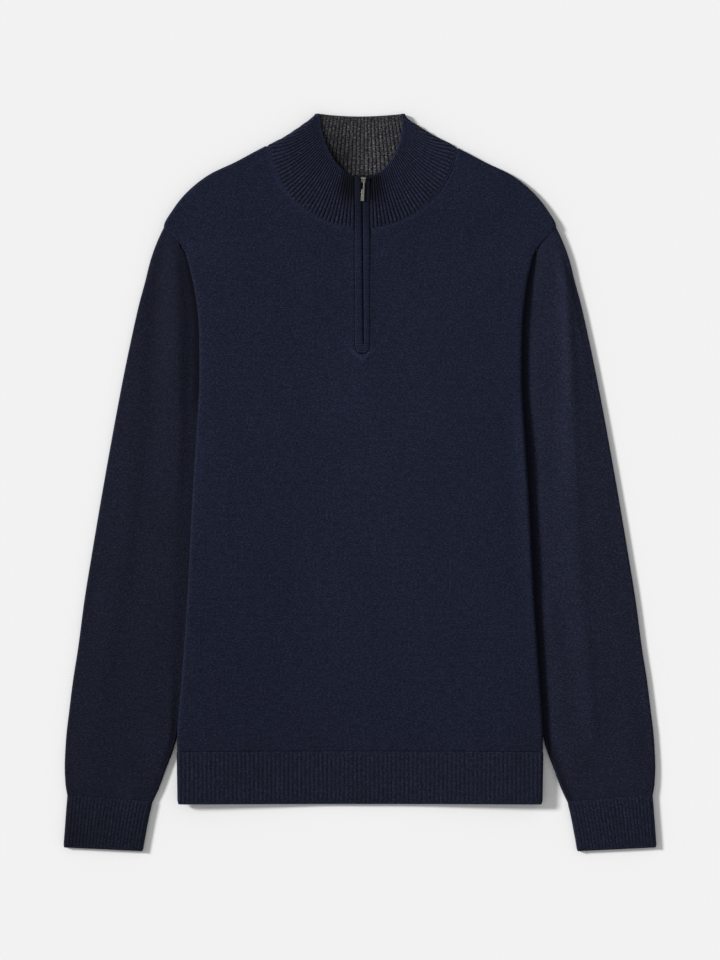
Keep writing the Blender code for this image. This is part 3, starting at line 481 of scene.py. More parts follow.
# %% Soft folds
def fold_height(x, y, stations):
    """Height that one fold adds at places x, y; stations are table rows."""
    table = np.array(stations, float)
    places = run_along(table[:, :2])
    dense = through(places, table, fill_in(places, 8.0))
    best = np.full(x.shape, 1e9)
    added = np.zeros(x.shape)
    for a, b in zip(dense, dense[1:]):
        along = b[:2] - a[:2]
        length = np.hypot(*along)
        unit = along / length
        dx, dy = x - a[0], y - a[1]
        t = np.clip((dx * unit[0] + dy * unit[1]) / length, 0.0, 1.0)
        off_x, off_y = dx - along[0] * t, dy - along[1] * t
        distance = np.hypot(off_x, off_y)
        left = off_x * unit[1] - off_y * unit[0] < 0
        height, one, other = (mix(a[k], b[k], t) for k in (2, 3, 4))
        value = height * bell(distance, np.where(left, one, other))
        nearer = distance < best
        best = np.where(nearer, distance, best)
        added = np.where(nearer, value, added)
    return added


def waves(x, y, height, size, seed):
    """Slow uneven waves, the sum of a few sines with mixed directions."""
    draw = np.random.default_rng(seed)
    total = np.zeros(x.shape)
    for _ in range(7):
        angle = draw.uniform(0, math.pi)
        length = size * draw.uniform(0.6, 1.6)
        phase = draw.uniform(0, 2 * math.pi)
        along = x * math.cos(angle) + y * math.sin(angle)
        total += np.sin(2 * math.pi * along / length + phase)
    return total * height / 3


print("folds and waves ready")

# %% [markdown]
# ## The front
# The front is one fine knit panel. It starts at the ribbed hem, runs up past
# the armholes and is cut out round the neck, with an opening for the zip. In
# this sweater each side of it is folded under, so its edge is a soft roll and
# not a cut edge. Rows run from the middle to that roll. Each row goes flat,
# turns down in an arc, and runs a little way back underneath.

# %% Sizes of the body
AXIS_X = 2.4            # neck and zip sit this far from the middle
KNIT = 2.5              # wall of front and back
SEAM = 0.4
ROLL_RADIUS = 1.9       # of a folded edge, to the middle of the wall
ROLL_TUCK = 7.0
SLOPE_WIDTH = 165.0     # the front rises over the folded sides in this
NECK_HALF, NECK_DEPTH, NECK_CENTRE_Y = 99.0, 95.0, 695.0
BACK_NECK_Y = 655.0
NECK_END = {-1: math.radians(82.8), 1: math.radians(81.3)}
NECK_H = 7.6            # height of the front at the collar
SLOT_HALF, SLOT_BOTTOM = 8.2, 470.0
SLOT_FOOT = np.array([
    # y, half width: the slot is rounded at its foot
    (450.0, 8.2), (460.0, 6.0), (470.0, 2.6), (470.5, 4.0), (471.3, 5.3), (472.7, 6.5),
    (474.8, 7.5), (477.4, 8.0), (480.5, 8.2),
])
EDGE_SHIFT = {-1: 0.0, 1: 1.3}      # the left side bulges out a little more
FOLD_REACH = 4.9
COLLAR_INSET = 0.5
FOLD_HEAD_X = {-1: -42.3, 1: 43.6}
FOLD_HEAD_Y = 721.2

BODY_ROWS = np.array([
    # edge_x, edge_y, middle_y, edge_h, middle_h, turn
    (190.9, 56.0, 56.0, 12.2, 6.0, 180),
    (190.7, 68.0, 72.0, 12.2, 5.9, 180),
    (185.4, 138.0, 140.0, 12.2, 5.8, 180),
    (180.2, 213.0, 215.0, 12.2, 5.8, 180),
    (174.9, 317.0, 318.0, 12.2, 5.8, 180),
    (170.2, 392.0, 395.0, 12.2, 6.1, 180),
    (167.6, 440.0, 442.0, 12.2, 6.6, 180),
    (167.4, 468.0, SLOT_BOTTOM, 12.2, 6.9, 180),
    (168.4, 505.0, 512.0, 12.2, 7.1, 180),
    (170.3, 523.0, 540.0, 12.2, 7.3, 180),
    (174.2, 545.0, 565.0, 11.6, 7.4, 135),
    (178.4, 562.5, 585.0, 10.3, 7.6, 85),
])
YOKE_ROWS = np.array([
    # edge_x, edge_y, neck_angle, edge_h, middle_h, turn
    (181.5, 575.0, 5.0, 9.0, 7.6, 40),
    (188.8, 586.7, 14.0, 7.7, 7.6, 12),
    (196.1, 594.0, 22.0, 7.6, 7.6, 12),
    (201.5, 599.0, 28.5, 7.6, 7.6, 15),
    (204.6, 602.6, 33.0, 7.6, 7.6, 60),
    (195.0, 621.2, 44.0, 7.6, 7.6, 90),
    (179.9, 639.6, 54.0, 7.6, 7.6, 90),
    (157.5, 657.2, 63.0, 7.6, 7.6, 90),
    (130.4, 670.2, 72.0, 7.6, 7.6, 90),
    (113.6, 679.2, 77.5, 7.6, 7.6, 90),
])
FRONT_FOLDS = {
    # x, y, height, width on the left, width on the right
    "left underarm": [(188, 597, 0.0, 4, 4), (185, 588, -0.7, 5, 4), (182.5, 578, -1.4, 6, 4)],
    "right underarm": [(-186, 598, 0.0, 4, 4), (-185, 590, -0.4, 4, 5), (-182, 579, -0.9, 4, 6)],
    "left edge": [(169.5, 430, 0.0, 3, 6.5), (171.6, 400, 1.4, 3, 6.5), (173.0, 370, 2.4, 3, 6.5),
                  (176.3, 318, 1.9, 3, 6.5), (179.2, 265, 1.9, 3, 6.5), (182.5, 200, 1.1, 3, 6.5),
                  (187.5, 130, 0.0, 3, 6.5)],
    "inside the edge": [(154, 440, 0.0, 9, 12), (157, 370, -1.0, 9, 14), (163, 265, -0.7, 9, 14),
                        (169, 200, -0.3, 9, 14), (173, 140, 0.0, 9, 14)],
    "zip end": [(-8.6, 486, 0.0, 1.8, 1.8), (-8.2, 478, 0.5, 1.8, 1.8),
                (-5.6, 471, 0.9, 2.0, 2.2), (-1.6, 467.4, 1.2, 2.2, 2.6),
                (2.4, 466.2, 1.3, 2.2, 2.8), (6.4, 467.4, 1.2, 2.2, 2.6),
                (10.4, 471, 0.8, 2.0, 2.2), (13.0, 478, 0.4, 1.8, 1.8),
                (13.4, 486, 0.0, 1.8, 1.8)],
    "below the zip": [(2.4, 463, 0.35, 9, 9), (2.4, 448, 0.3, 12, 12), (2.0, 425, 0.0, 14, 14)],
}


def neck_point(side, angle, shrink=0.0):
    """The front neck seam; angle 0 is at the zip, 90 degrees at the side."""
    x = AXIS_X + side * (NECK_HALF - shrink) * np.sin(angle)
    y = NECK_CENTRE_Y - (NECK_DEPTH - shrink) * np.cos(angle)
    return np.stack((x + 0 * y, y + 0 * x), axis=-1)


def fold_line(side):
    """Foot and head of the collar's side fold, and the way that it faces."""
    foot = neck_point(side, NECK_END[side], COLLAR_INSET)
    head = np.array((FOLD_HEAD_X[side], FOLD_HEAD_Y))
    along = (foot - head) / np.linalg.norm(foot - head)
    return foot, head, np.array((-along[1] * side, along[0] * side))


def body_edge_x(y):
    """Half width of the body at a height."""
    line = [(190.1, 0.0)] + [(row[0], row[1]) for row in BODY_ROWS] + [(181.5, 575.0)]
    return np.interp(y, [p[1] for p in line], [p[0] for p in line])


print("front:", len(BODY_ROWS) + len(YOKE_ROWS), "rows in its tables")

# %% Rows with a rolled edge
ROW_GAP = 4.6
SLOT_FINE = (442.0, SLOT_BOTTOM, 512.0)     # the rows are finer between these heights
FOOT_SHARES = (0.01, 0.025, 0.06, 0.1, 0.15, 0.2)       # and finest just over the foot
ARC_STEPS = 9


def spread(count):
    """Shares from 0 to 1 that lie closer together at both ends."""
    even = np.linspace(0, 1, count)
    return mix(even, ease(even), 0.45)


def rolled_rows(start, edge, normal, heights, turn, wall, shares, slope=SLOPE_WIDTH):
    """Mid-wall points, wall directions and flat places of rows that end in a roll."""
    middle_h, edge_h = heights
    reach = (ROLL_RADIUS + wall / 2) * np.sin(np.radians(np.minimum(turn, 90)))
    brink = edge - normal * reach[:, None]
    length = np.linalg.norm(brink - start, axis=1)
    mids, ways, cuts = [], [], []
    up = np.tile((0.0, 0.0, 1.0), (len(start), 1))
    out = np.column_stack((normal, np.zeros(len(normal))))
    for share in shares:
        spot = start + (brink - start) * share
        height = mix(middle_h, edge_h, ease(1 - length * (1 - share) / slope))
        mids.append(np.column_stack((spot, height - wall / 2)))
        ways.append(up)
        cuts.append(spot)
    hub = np.column_stack((brink, edge_h - wall / 2 - ROLL_RADIUS))
    for step in range(1, ARC_STEPS + 1):
        angle = np.radians(turn)[:, None] * step / ARC_STEPS
        way = out * np.sin(angle) + up * np.cos(angle)
        mids.append(hub + way * ROLL_RADIUS)
        ways.append(way)
        cuts.append(brink + normal * angle * (ROLL_RADIUS + wall / 2))
    angle = np.radians(turn)[:, None]
    ahead = out * np.cos(angle) - up * np.sin(angle)
    back = ROLL_TUCK * np.maximum(0.0, (turn - 150) / 30)[:, None] + 0.4
    for part in (0.5, 1.0):
        mids.append(mids[len(shares) + ARC_STEPS - 1] + ahead * back * part)
        ways.append(ways[-1])
        cuts.append(cuts[len(shares) + ARC_STEPS - 1] + normal * back * part)
    return [np.stack(a, axis=1) for a in (mids, ways, cuts)]


def front_half(side):
    """Rows of one half of the front, from the zip's slot or the neck outwards."""
    out = fold_line(side)[2]
    last_edge = neck_point(side, NECK_END[side]) + out * FOLD_REACH
    edge = np.vstack((BODY_ROWS[:, :2] * (side, 1), YOKE_ROWS[:, :2] * (side, 1), last_edge))
    others = np.vstack((BODY_ROWS[:, 3:], YOKE_ROWS[:, 3:], (NECK_H, NECK_H, 90)))
    edge[:, 0] += EDGE_SHIFT[side] * window(edge[:, 1], 90, 550, 60, 30)
    places = run_along(np.vstack((BODY_ROWS[:, :2], YOKE_ROWS[:, :2], (100.0, 686.0))))
    below, foot, above = places[[list(BODY_ROWS[:, 2]).index(y) for y in SLOT_FINE]]
    dense = np.unique(np.round(np.concatenate((
        fill_in(places, ROW_GAP), np.linspace(below, foot, 25), np.linspace(foot, above, 25),
        mix(foot, above, np.array(FOOT_SHARES)))), 6))
    row = through(places, np.column_stack((edge, others)), dense)
    edge, edge_h, middle_h, turn = row[:, :2], row[:, 2], row[:, 3], row[:, 4]
    along = np.gradient(edge, axis=0)
    along /= np.linalg.norm(along, axis=1)[:, None]
    normal = np.column_stack((side * along[:, 1], -side * along[:, 0]))
    normal[-1] = out
    body_end = len(BODY_ROWS) - 1
    middle_y = through(places[:body_end + 1], BODY_ROWS[:, 2:3], dense)[:, 0]
    angles = np.append(YOKE_ROWS[:, 2], math.degrees(NECK_END[side]))[:, None]
    angle = np.radians(through(places[body_end + 1:], angles, dense)[:, 0])
    slot_side = AXIS_X + side * np.interp(middle_y, SLOT_FOOT[:, 0], SLOT_FOOT[:, 1])
    on_slot = np.column_stack((slot_side, middle_y))
    on_neck = neck_point(side, angle)
    gap = places[body_end + 1] - places[body_end]
    up_share = np.clip((dense - places[body_end]) / gap, 0, 1)[:, None]
    corner = neck_point(side, math.radians(YOKE_ROWS[0, 2]))
    between = mix(np.array((AXIS_X + side * SLOT_HALF, BODY_ROWS[-1, 2])), corner, up_share)
    start = np.where(up_share <= 0, on_slot, np.where(up_share >= 1, on_neck, between))
    mids, ways, cuts = rolled_rows(start, edge, normal, (middle_h, edge_h), turn, KNIT,
                                   spread(44) ** 1.15)
    slot_row = int(np.argmin(np.abs(dense - foot)))
    return mids, ways, cuts, turn, edge, start, slot_row


NECK_DIP, ZIP_RIDGE = (0.3, 1.5), (0.45, 1.2)   # height and reach of the seams' relief
SHOULDER_DIP, HEM_DIP = (0.45, 1.8), (0.35, 1.6)
RIDGE_AT = 1.3          # from the zip's opening to the ridge's crest


def front_relief(points, start, edge, turn):
    """Folds, waves and the seams' dips, as a height at each point of the rows."""
    x, y = points[..., 0], points[..., 1]
    added = waves(x, y, 0.28, 95.0, 3)
    for stations in FRONT_FOLDS.values():
        added += fold_height(x, y, stations)
    from_start = np.linalg.norm(points[..., :2] - start[:, None], axis=-1)
    from_edge = np.linalg.norm(points[..., :2] - edge[:, None], axis=-1)
    seamed = np.clip(1 - turn / 55, 0, 1)[:, None]
    at_neck = ease((start[:, 1] - BODY_ROWS[-1, 2]) / 12)[:, None]
    at_zip = ease((start[:, 1] - SLOT_BOTTOM) / 8)[:, None] * (1 - at_neck)
    added -= NECK_DIP[0] * bell(from_start, NECK_DIP[1]) * at_neck
    added += ZIP_RIDGE[0] * bell(from_start - RIDGE_AT, ZIP_RIDGE[1]) * at_zip
    added -= SHOULDER_DIP[0] * seamed * bell(from_edge, SHOULDER_DIP[1])
    added -= HEM_DIP[0] * bell(y - BODY_ROWS[0, 1], HEM_DIP[1])
    return added


print("round a folded edge:", ARC_STEPS, "steps")

# %% Knit the front
MIDDLE_COLUMNS = 10     # across the foot of the zip's opening
V_TIP = SLOT_BOTTOM - 6.5       # the tip of a painted highlight in a V below the zip's foot, where the knit puckers
V_SLOPE, V_WIDTH, V_HALF = 0.95, 2.2, 16.0
V_HIGHLIGHT, NECK_HIGHLIGHT, SIDE_HIGHLIGHT = 0.8, 0.35, 0.08       # how pale each painted highlight is: the V, a line along the neck seam, and the folded side edge
halves = {side: front_half(side) for side in (-1, 1)}
slot_row = halves[1][6]
mid_parts = []
for right, left in zip(halves[-1][:3], halves[1][:3]):
    middle = [mix(right[:, :1], left[:, :1], (t + 1) / MIDDLE_COLUMNS)
              for t in range(MIDDLE_COLUMNS - 1)]
    mid_parts.append(np.concatenate((right[:, ::-1], *middle, left), axis=1))
front_mids, front_ways, front_cut = mid_parts
flat_columns = halves[1][0].shape[1]
lift = np.zeros(front_mids.shape[:2])
last_right = flat_columns + MIDDLE_COLUMNS // 2
for side, columns in ((-1, slice(0, last_right)), (1, slice(last_right, None))):
    _, _, _, turn, edge, start, _ = halves[side]
    lift[:, columns] = front_relief(front_mids[:, columns], start, edge, turn)
front_mids[..., 2] += lift * np.clip(front_ways[..., 2], 0, 1)
front_x, front_y = front_mids[..., 0], front_mids[..., 1]
off_zip = np.abs(front_x - AXIS_X)
# painted highlights, passed below as negative painted shade
painted_highlights = V_HIGHLIGHT * bell(front_y - V_TIP - V_SLOPE * off_zip, V_WIDTH)
painted_highlights *= ease((V_HALF - off_zip) / 7)
from_neck = NECK_HALF - np.hypot(front_x - AXIS_X,
                                 (front_y - NECK_CENTRE_Y) * NECK_HALF / NECK_DEPTH)
painted_highlights += NECK_HIGHLIGHT * bell(from_neck + 1.3, 1.3)
from_side = body_edge_x(front_y) + front_x
painted_highlights += SIDE_HIGHLIGHT * bell(from_side - 7, 5) * window(front_y, 230, 560, 50, 50)
keep_front = np.ones((front_mids.shape[0] - 1, front_mids.shape[1] - 1), bool)
keep_front[slot_row:, flat_columns - 1:flat_columns - 1 + MIDDLE_COLUMNS] = False
front = shell("front_cloth", front_mids + front_ways * KNIT / 2,
              front_mids - front_ways * KNIT / 2, front_cut, jersey, painted_shade=-painted_highlights,
              keep=keep_front)
fit(front, "navy_knit", "front_panel")

# %% [markdown]
# ## The back
# Underneath lies the back, flat on the table. Its sides stop where the folded
# strips begin, so it is narrow at the waist and wide at the armholes. Its two
# halves share a narrow strip down the middle, which ends at the neck.

# %% Knit the back
BACK_ROWS = np.array([
    # edge_x, edge_y, middle_y
    (145.0, 56.0, 56.0),
    (130.0, 150.0, 150.0),
    (112.0, 270.0, 270.0),
    (95.0, 390.0, 390.0),
    (85.0, 470.0, 470.0),
    (86.0, 500.0, 505.0),
    (105.0, 535.0, 545.0),
    (140.6, 558.6, 575.0),
    (168.6, 552.6, 594.0),
    (174.6, 563.6, 604.0),
    (181.3, 577.4, 614.0),
    (203.6, 603.8, 640.0),
])
BACK_YOKE_ROWS = np.array([
    # edge_x, edge_y, neck_share
    (203.0, 605.4, 0.0),
    (194.2, 620.8, 0.25),
    (179.2, 639.0, 0.5),
    (157.0, 656.5, 0.7),
    (130.0, 669.6, 0.86),
    (113.0, 678.6, 0.94),
])
MIDDLE_STRIP = 0.6      # half width of the strip that joins the halves
NECK_CURVE = 2.2        # the back neck is this flat in its middle
HEM_STEPS, UPPER_STEPS = 8, 4       # of the mesh between rows: finer in the first few
LOW_ROWS = 3


def back_neck_point(side, share, shrink=0.0):
    """The back neck seam, from its middle to the end of the front's seam."""
    foot = neck_point(side, NECK_END[side])
    share = np.asarray(share, float)
    y = mix(BACK_NECK_Y, foot[1], share ** NECK_CURVE) + shrink
    return np.stack((foot[0] * share, y), axis=-1)


def back_half(side):
    corner = back_neck_point(side, 1.0, -SEAM)
    shoulder = corner + fold_line(side)[2] * (FOLD_REACH - 0.3)
    edges = np.vstack((BACK_ROWS[:, :2] * (side, 1), BACK_YOKE_ROWS[:, :2] * (side, 1), shoulder))
    middle = np.column_stack((np.zeros(len(BACK_ROWS)), BACK_ROWS[:, 2]))
    starts = np.vstack((middle, back_neck_point(side, BACK_YOKE_ROWS[:, 2], -SEAM), corner))
    starts[:, 0] = side * np.maximum(MIDDLE_STRIP, starts[:, 0] * side)
    rows = []
    lines = np.stack((starts, edges), axis=1)
    for k in range(len(edges) - 1):
        steps = HEM_STEPS if k < LOW_ROWS else UPPER_STEPS
        rows.extend(mix(lines[k], lines[k + 1], i / steps) for i in range(steps))
    rows.append(lines[-1])
    neck_row = HEM_STEPS * LOW_ROWS + UPPER_STEPS * (len(BACK_ROWS) - LOW_ROWS)
    return np.array([[mix(start, edge, s) for s in spread(22)] for start, edge in rows]), neck_row


right_plan, neck_row = back_half(-1)
left_plan, _ = back_half(1)
back_plan = np.concatenate((right_plan[:, ::-1], left_plan), axis=1)
keep_back = np.ones((back_plan.shape[0] - 1, back_plan.shape[1] - 1), bool)
keep_back[neck_row:, right_plan.shape[1] - 1] = False
back_top = np.dstack((back_plan, np.full(back_plan.shape[:2], KNIT)))
back_foot = np.dstack((back_plan, np.zeros(back_plan.shape[:2])))
back = shell("back_cloth", back_top, back_foot, back_plan, jersey, keep=keep_back)
fit(back, "navy_knit", "back_panel")

# %% [markdown]
# ## Ribbing
# Ribbing is made of columns that stand forward and columns that sink back. It
# pulls itself together, so on a worn-in band the sunk columns are narrow dark
# grooves between wide soft ridges. One formula gives that section for every
# band: the share of a rib from 0 to 1, with the groove at 0.

# %% Section of a rib
def rib_height(rib):
    """Between -0.5 in the groove and 0.5 on the ridge."""
    return np.abs(np.sin(math.pi * rib)) ** 0.55 - 0.5


def rib_hollow(rib):
    """How much of its light a place in the groove has lost."""
    return (1 - np.abs(np.sin(math.pi * rib))) ** 2


print("a rib's section:", [round(float(rib_height(share / 8)), 2) for share in range(9)])

# %% [markdown]
# ## The hem band
# The hem band is ribbed in 85 ribs across the front, and its sides are folded
# under with the body. Its cast-off edge is a plain thin line.

# %% Knit the hem band
RIB_KNIT = 2.8
HEM_TOP = 55.5
HEM_RIBS = 85
HEM_RELIEF = 0.65
HEM_ROWS = np.array([
    # half_width, y, edge_h, middle_h, ribbed, thickness
    (189.7, 0.3, 11.7, 5.6, 0.0, 1.2),
    (189.9, 0.8, 12.0, 5.9, 0.0, 2.0),
    (190.0, 1.5, 12.1, 6.0, 0.0, 2.4),
    (190.1, 2.6, 12.1, 6.0, 0.1, 2.4),
    (190.1, 3.6, 12.3, 6.2, 0.9, 2.7),
    (190.2, 5.0, 12.4, 6.3, 1.0, RIB_KNIT),
    (190.3, 15.0, 12.4, 6.3, 1.0, RIB_KNIT),
    (190.5, 28.0, 12.4, 6.3, 1.0, RIB_KNIT),
    (190.7, 41.0, 12.4, 6.3, 1.0, RIB_KNIT),
    (190.9, 51.0, 12.4, 6.3, 1.0, RIB_KNIT),
    (190.9, 53.4, 12.3, 6.2, 0.8, 2.7),
    (190.9, HEM_TOP - 0.05, 12.0, 5.9, 0.3, 2.4),
])


def hem_half(side):
    half, y, edge_h, middle_h = HEM_ROWS.T[:4]
    start = np.column_stack((np.zeros(len(y)), y))
    edge = np.column_stack((side * half, y))
    normal = np.tile((float(side), 0.0), (len(y), 1))
    shares = np.linspace(0, 1, HEM_RIBS * 4 + 1)
    turn = np.full(len(y), 180.0)
    return rolled_rows(start, edge, normal, (middle_h, edge_h), turn, RIB_KNIT, shares)


hem_sides = [hem_half(-1), hem_half(1)]
hem_mids, hem_ways, hem_cut = (np.concatenate((right[:, :0:-1], left), axis=1)
                               for right, left in zip(*hem_sides))
pitch = 2 * HEM_ROWS[5, 0] / HEM_RIBS
ribs = hem_cut[..., 0] / pitch + 0.5
ribbed, wall = HEM_ROWS[:, 4:5], HEM_ROWS[:, 5:6]
rise = rib_height(ribs) * HEM_RELIEF * ribbed
hem_wave = waves(hem_mids[..., 0], hem_mids[..., 1], 0.2, 80.0, 5)
hem_mids[..., 2] += hem_wave * np.clip(hem_ways[..., 2], 0, 1)
# painted shade in the grooves between the ribs
hem = shell("hem_front_ribbing", hem_mids + hem_ways * (wall / 2 + rise)[..., None],
            hem_mids - hem_ways * (wall / 2)[..., None], hem_cut, hem_knit,
            painted_shade=0.5 * rib_hollow(ribs) * ribbed)
fit(hem, "navy_knit", "hem_front")

HEM_BACK_HALF = (146.8, 145.9)      # half width at the cast-off edge and at the top
back_y = np.array([0.6, 1.4, 4.0, 20.0, 40.0, 54.0, HEM_TOP + 0.4])
grid_x, grid_y = np.meshgrid(np.linspace(-1, 1, 65 * 4 + 1), back_y)
grid_x *= mix(*HEM_BACK_HALF, grid_y / back_y[-1])
groove = 0.25 * (0.5 - rib_height(grid_x / pitch + 0.5))
hem_back_top = np.dstack((grid_x, grid_y, np.full(grid_x.shape, RIB_KNIT)))
hem_back_foot = np.dstack((grid_x, grid_y, groove))
hem_back = shell("hem_back_ribbing", hem_back_top, hem_back_foot,
                 np.dstack((grid_x, grid_y)), hem_knit)
fit(hem_back, "navy_knit", "hem_back")

# %% [markdown]
# ## The folded sides
# Folded under each side of the body lies a strip of front and back cloth, in
# soft layers. Only their edges can be seen, from low down at the side. The
# layers are one solid, and its outline steps in and out round each of them.

# %% Fold the sides
FOLD_ROWS = np.array([
    # outer_x, outer_y, inner_x, inner_y
    (188.4, 1.5, 147.2, 1.5),
    (188.8, 40.0, 146.6, 40.0),
    (188.6, 57.0, 146.2, 57.0),
    (184.6, 86.0, 141.2, 86.0),
    (178.6, 118.0, 136.1, 118.0),
    (173.2, 148.0, 131.4, 148.0),
    (165.2, 198.0, 124.0, 198.0),
    (159.9, 244.0, 117.0, 244.0),
    (155.9, 297.0, 109.7, 297.0),
    (153.4, 334.0, 104.2, 334.0),
    (150.4, 378.0, 98.0, 378.0),
    (148.4, 420.0, 92.5, 420.0),
    (148.4, 450.0, 88.8, 450.0),
    (150.3, 481.0, 86.8, 481.0),
    (154.3, 506.0, 88.4, 499.0),
    (160.3, 531.0, 107.2, 533.0),
    (167.8, 551.0, 142.0, 557.0),
])
FOLD_ROUND = 1.3        # how far a layer's edge steps in from its widest line
FOLD_LAYERS = [
    # low, high, nearest, farthest from the body's edge
    (0.0, 2.35, 0.0, 200.0),
    (2.4, 4.65, 0.0, 60.0),
    (4.7, 6.8, 12.0, 36.0),
]


def layer_outline(side, rows, step, nearest, farthest):
    """Outline of one layer, stepped in by some millimetres."""
    outer, inner = rows[:, :2], rows[:, 2:]
    width = np.linalg.norm(inner - outer, axis=1)
    across = (inner - outer) / width[:, None]
    hidden = body_edge_x(rows[:, 1]) - rows[:, 0]
    start = np.maximum(0.0, nearest - hidden) + step
    stop = np.maximum(np.minimum(width, farthest - hidden) - step, start + 1)
    shift = np.zeros((len(rows), 2))
    shift[0, 1], shift[-1, 1] = step, -step
    outside = outer + across * start[:, None] + shift
    inside = outer + across * stop[:, None] + shift
    return np.vstack((outside, inside[::-1])) * (side, 1)


def fold_strip(name, side):
    places = run_along(FOLD_ROWS[:, :2])
    rows = through(places, FOLD_ROWS, fill_in(places, 7.0))
    rings = []
    for low, high, nearest, farthest in FOLD_LAYERS:
        for degrees in range(-90, 91, 30):
            a = math.radians(degrees)
            z = (low + high) / 2 + (high - low) / 2 * math.sin(a)
            step = FOLD_ROUND * (1 - math.cos(a))
            outline = layer_outline(side, rows, step, nearest, farthest)
            rings.append(np.column_stack((outline, np.full(len(outline), z))))
    return solid_cloth(name, np.array(rings), jersey)


def ring_faces(rows, count, cut):
    """Faces between rings of points; cut has one column more than the rings."""
    faces, spots = [], []
    for r in range(rows - 1):
        for c in range(count):
            d = (c + 1) % count
            faces.append([r * count + c, r * count + d, (r + 1) * count + d, (r + 1) * count + c])
            spots.extend((cut[r, c], cut[r, c + 1], cut[r + 1, c + 1], cut[r + 1, c]))
    return faces, spots


def tube_grid(around, along):
    """Flat places of a tube from its distances around and along."""
    return np.dstack((np.tile(around, (len(along), 1)),
                      np.repeat(along[:, None], len(around), axis=1)))


def solid_cloth(name, rings, finish):
    """A closed body through rings; a ring's two halves mirror each other's order."""
    count = rings.shape[1]
    closing = np.linalg.norm(rings[0, 0] - rings[0, -1])
    around = run_along(rings[0])
    cut = tube_grid(np.append(around, around[-1] + closing), run_along(rings.mean(axis=1)))
    faces, spots = ring_faces(len(rings), count, cut)
    for k, flip in ((0, True), (len(rings) - 1, False)):
        for i in range(count // 2 - 1):
            quad = [i, i + 1, count - 2 - i, count - 1 - i]
            if flip:
                quad.reverse()
            faces.append([k * count + v for v in quad])
            spots.extend(tuple(rings[k, v, :2]) for v in quad)
    return cloth_object(name, place(rings.reshape(-1, 3)), faces, spots, finish)


for side, word in SIDES:
    fit(fold_strip(f"side_fold_{word}_cloth", side), "navy_knit", f"side_fold_{word}")

# %% [markdown]
# ## The sleeves
# A sleeve is a flat tube. Its outer edge is a soft roll, and its inner edge is
# tucked under the body, in a narrow dark gap. Between them the cloth swells a
# little, and pressing and folding have left a long soft trough in the right
# sleeve and a long crease in the left one.

# %% Sizes of the sleeves
SLEEVE_KNIT = 2.2
INNER_R = 2.5
UNDER_COLUMNS, ROLL_STEPS = 14, 10      # of the mesh, underneath and round each roll
GAP_SHADE = {-1: 7.0, 1: 10.0}          # painted shadow in this width beside the body, where the body's edge shades the sleeve
GAP_DARK = 0.85                         # how dark that strip is in its upper part
GAP_DARK_LOW = {-1: 0.15, 1: 0.85}      # and in its lower part
GAP_CHANGE = (425, 40)                  # the height where that begins, and its fade
BODY_REACH = 24.0                       # a tube changes its thickness over this width
TOP_SEAM, CUFF_SEAM, SEAM_WIDTH = 0.3, 0.7, 2.0         # depth of their dips
LINK_SEAT = 0.6                         # how deep the cuff's linking lies in its seam
SLEEVE_ROWS = np.array([
    # outer_x, outer_y, inner_x, inner_y, outer_r, crown
    (205.3, 601.9, 182.7, 573.9, 3.7, 0.4),
    (210.8, 590.0, 171.5, 555.0, 3.3, 1.6),
    (218.7, 568.0, 162.0, 530.0, 3.0, 2.8),
    (224.5, 545.0, 156.0, 505.0, 2.7, 4.0),
    (230.5, 523.0, 152.0, 480.0, 2.6, 4.8),
    (238.6, 487.0, 150.0, 450.0, 2.6, 5.2),
    (245.7, 453.0, 150.0, 420.0, 2.6, 5.2),
    (254.9, 405.0, 152.0, 378.0, 2.6, 5.2),
    (263.6, 357.0, 155.0, 335.0, 2.6, 4.8),
    (270.5, 317.6, 157.5, 298.0, 2.6, 5.0),
    (279.9, 262.0, 161.5, 245.0, 2.6, 4.8),
    (287.8, 213.0, 167.0, 199.0, 2.6, 4.8),
    (294.6, 161.7, 175.0, 150.0, 2.6, 4.8),
    (299.6, 130.0, 180.6, 120.0, 2.6, 4.8),
    (303.6, 98.0, 186.8, 89.0, 2.6, 4.8),
    (307.0, 68.0, 193.2, 62.0, 2.6, 4.8),
    (308.4, 38.0, 203.0, 35.0, 2.7, 4.2),
    (307.5, 20.0, 210.0, 16.0, 2.8, 2.8),
    (305.9, 10.6, 216.0, 3.4, 2.9, 0.9),
])
DIVE = {
    # height, and the width in which the sleeve dives under the body's edge there
    -1: [(0, 5), (90, 6), (160, 12), (270, 16), (620, 16)],
    1: [(0, 20), (620, 20)],
}
SHOULDER = {-1: 34.0, 1: 24.0}  # a sleeve rises from its outer roll in this width
ARMHOLE_BOW = [
    # share from the inner end, distance
    (0.0, 1.2), (0.2, 2.1), (0.383, 2.8), (0.669, 1.8), (0.871, 1.0), (1.0, 0.95),
]
SWELL = {-1: 0.36, 1: 0.33}     # share of the crown that each sleeve has
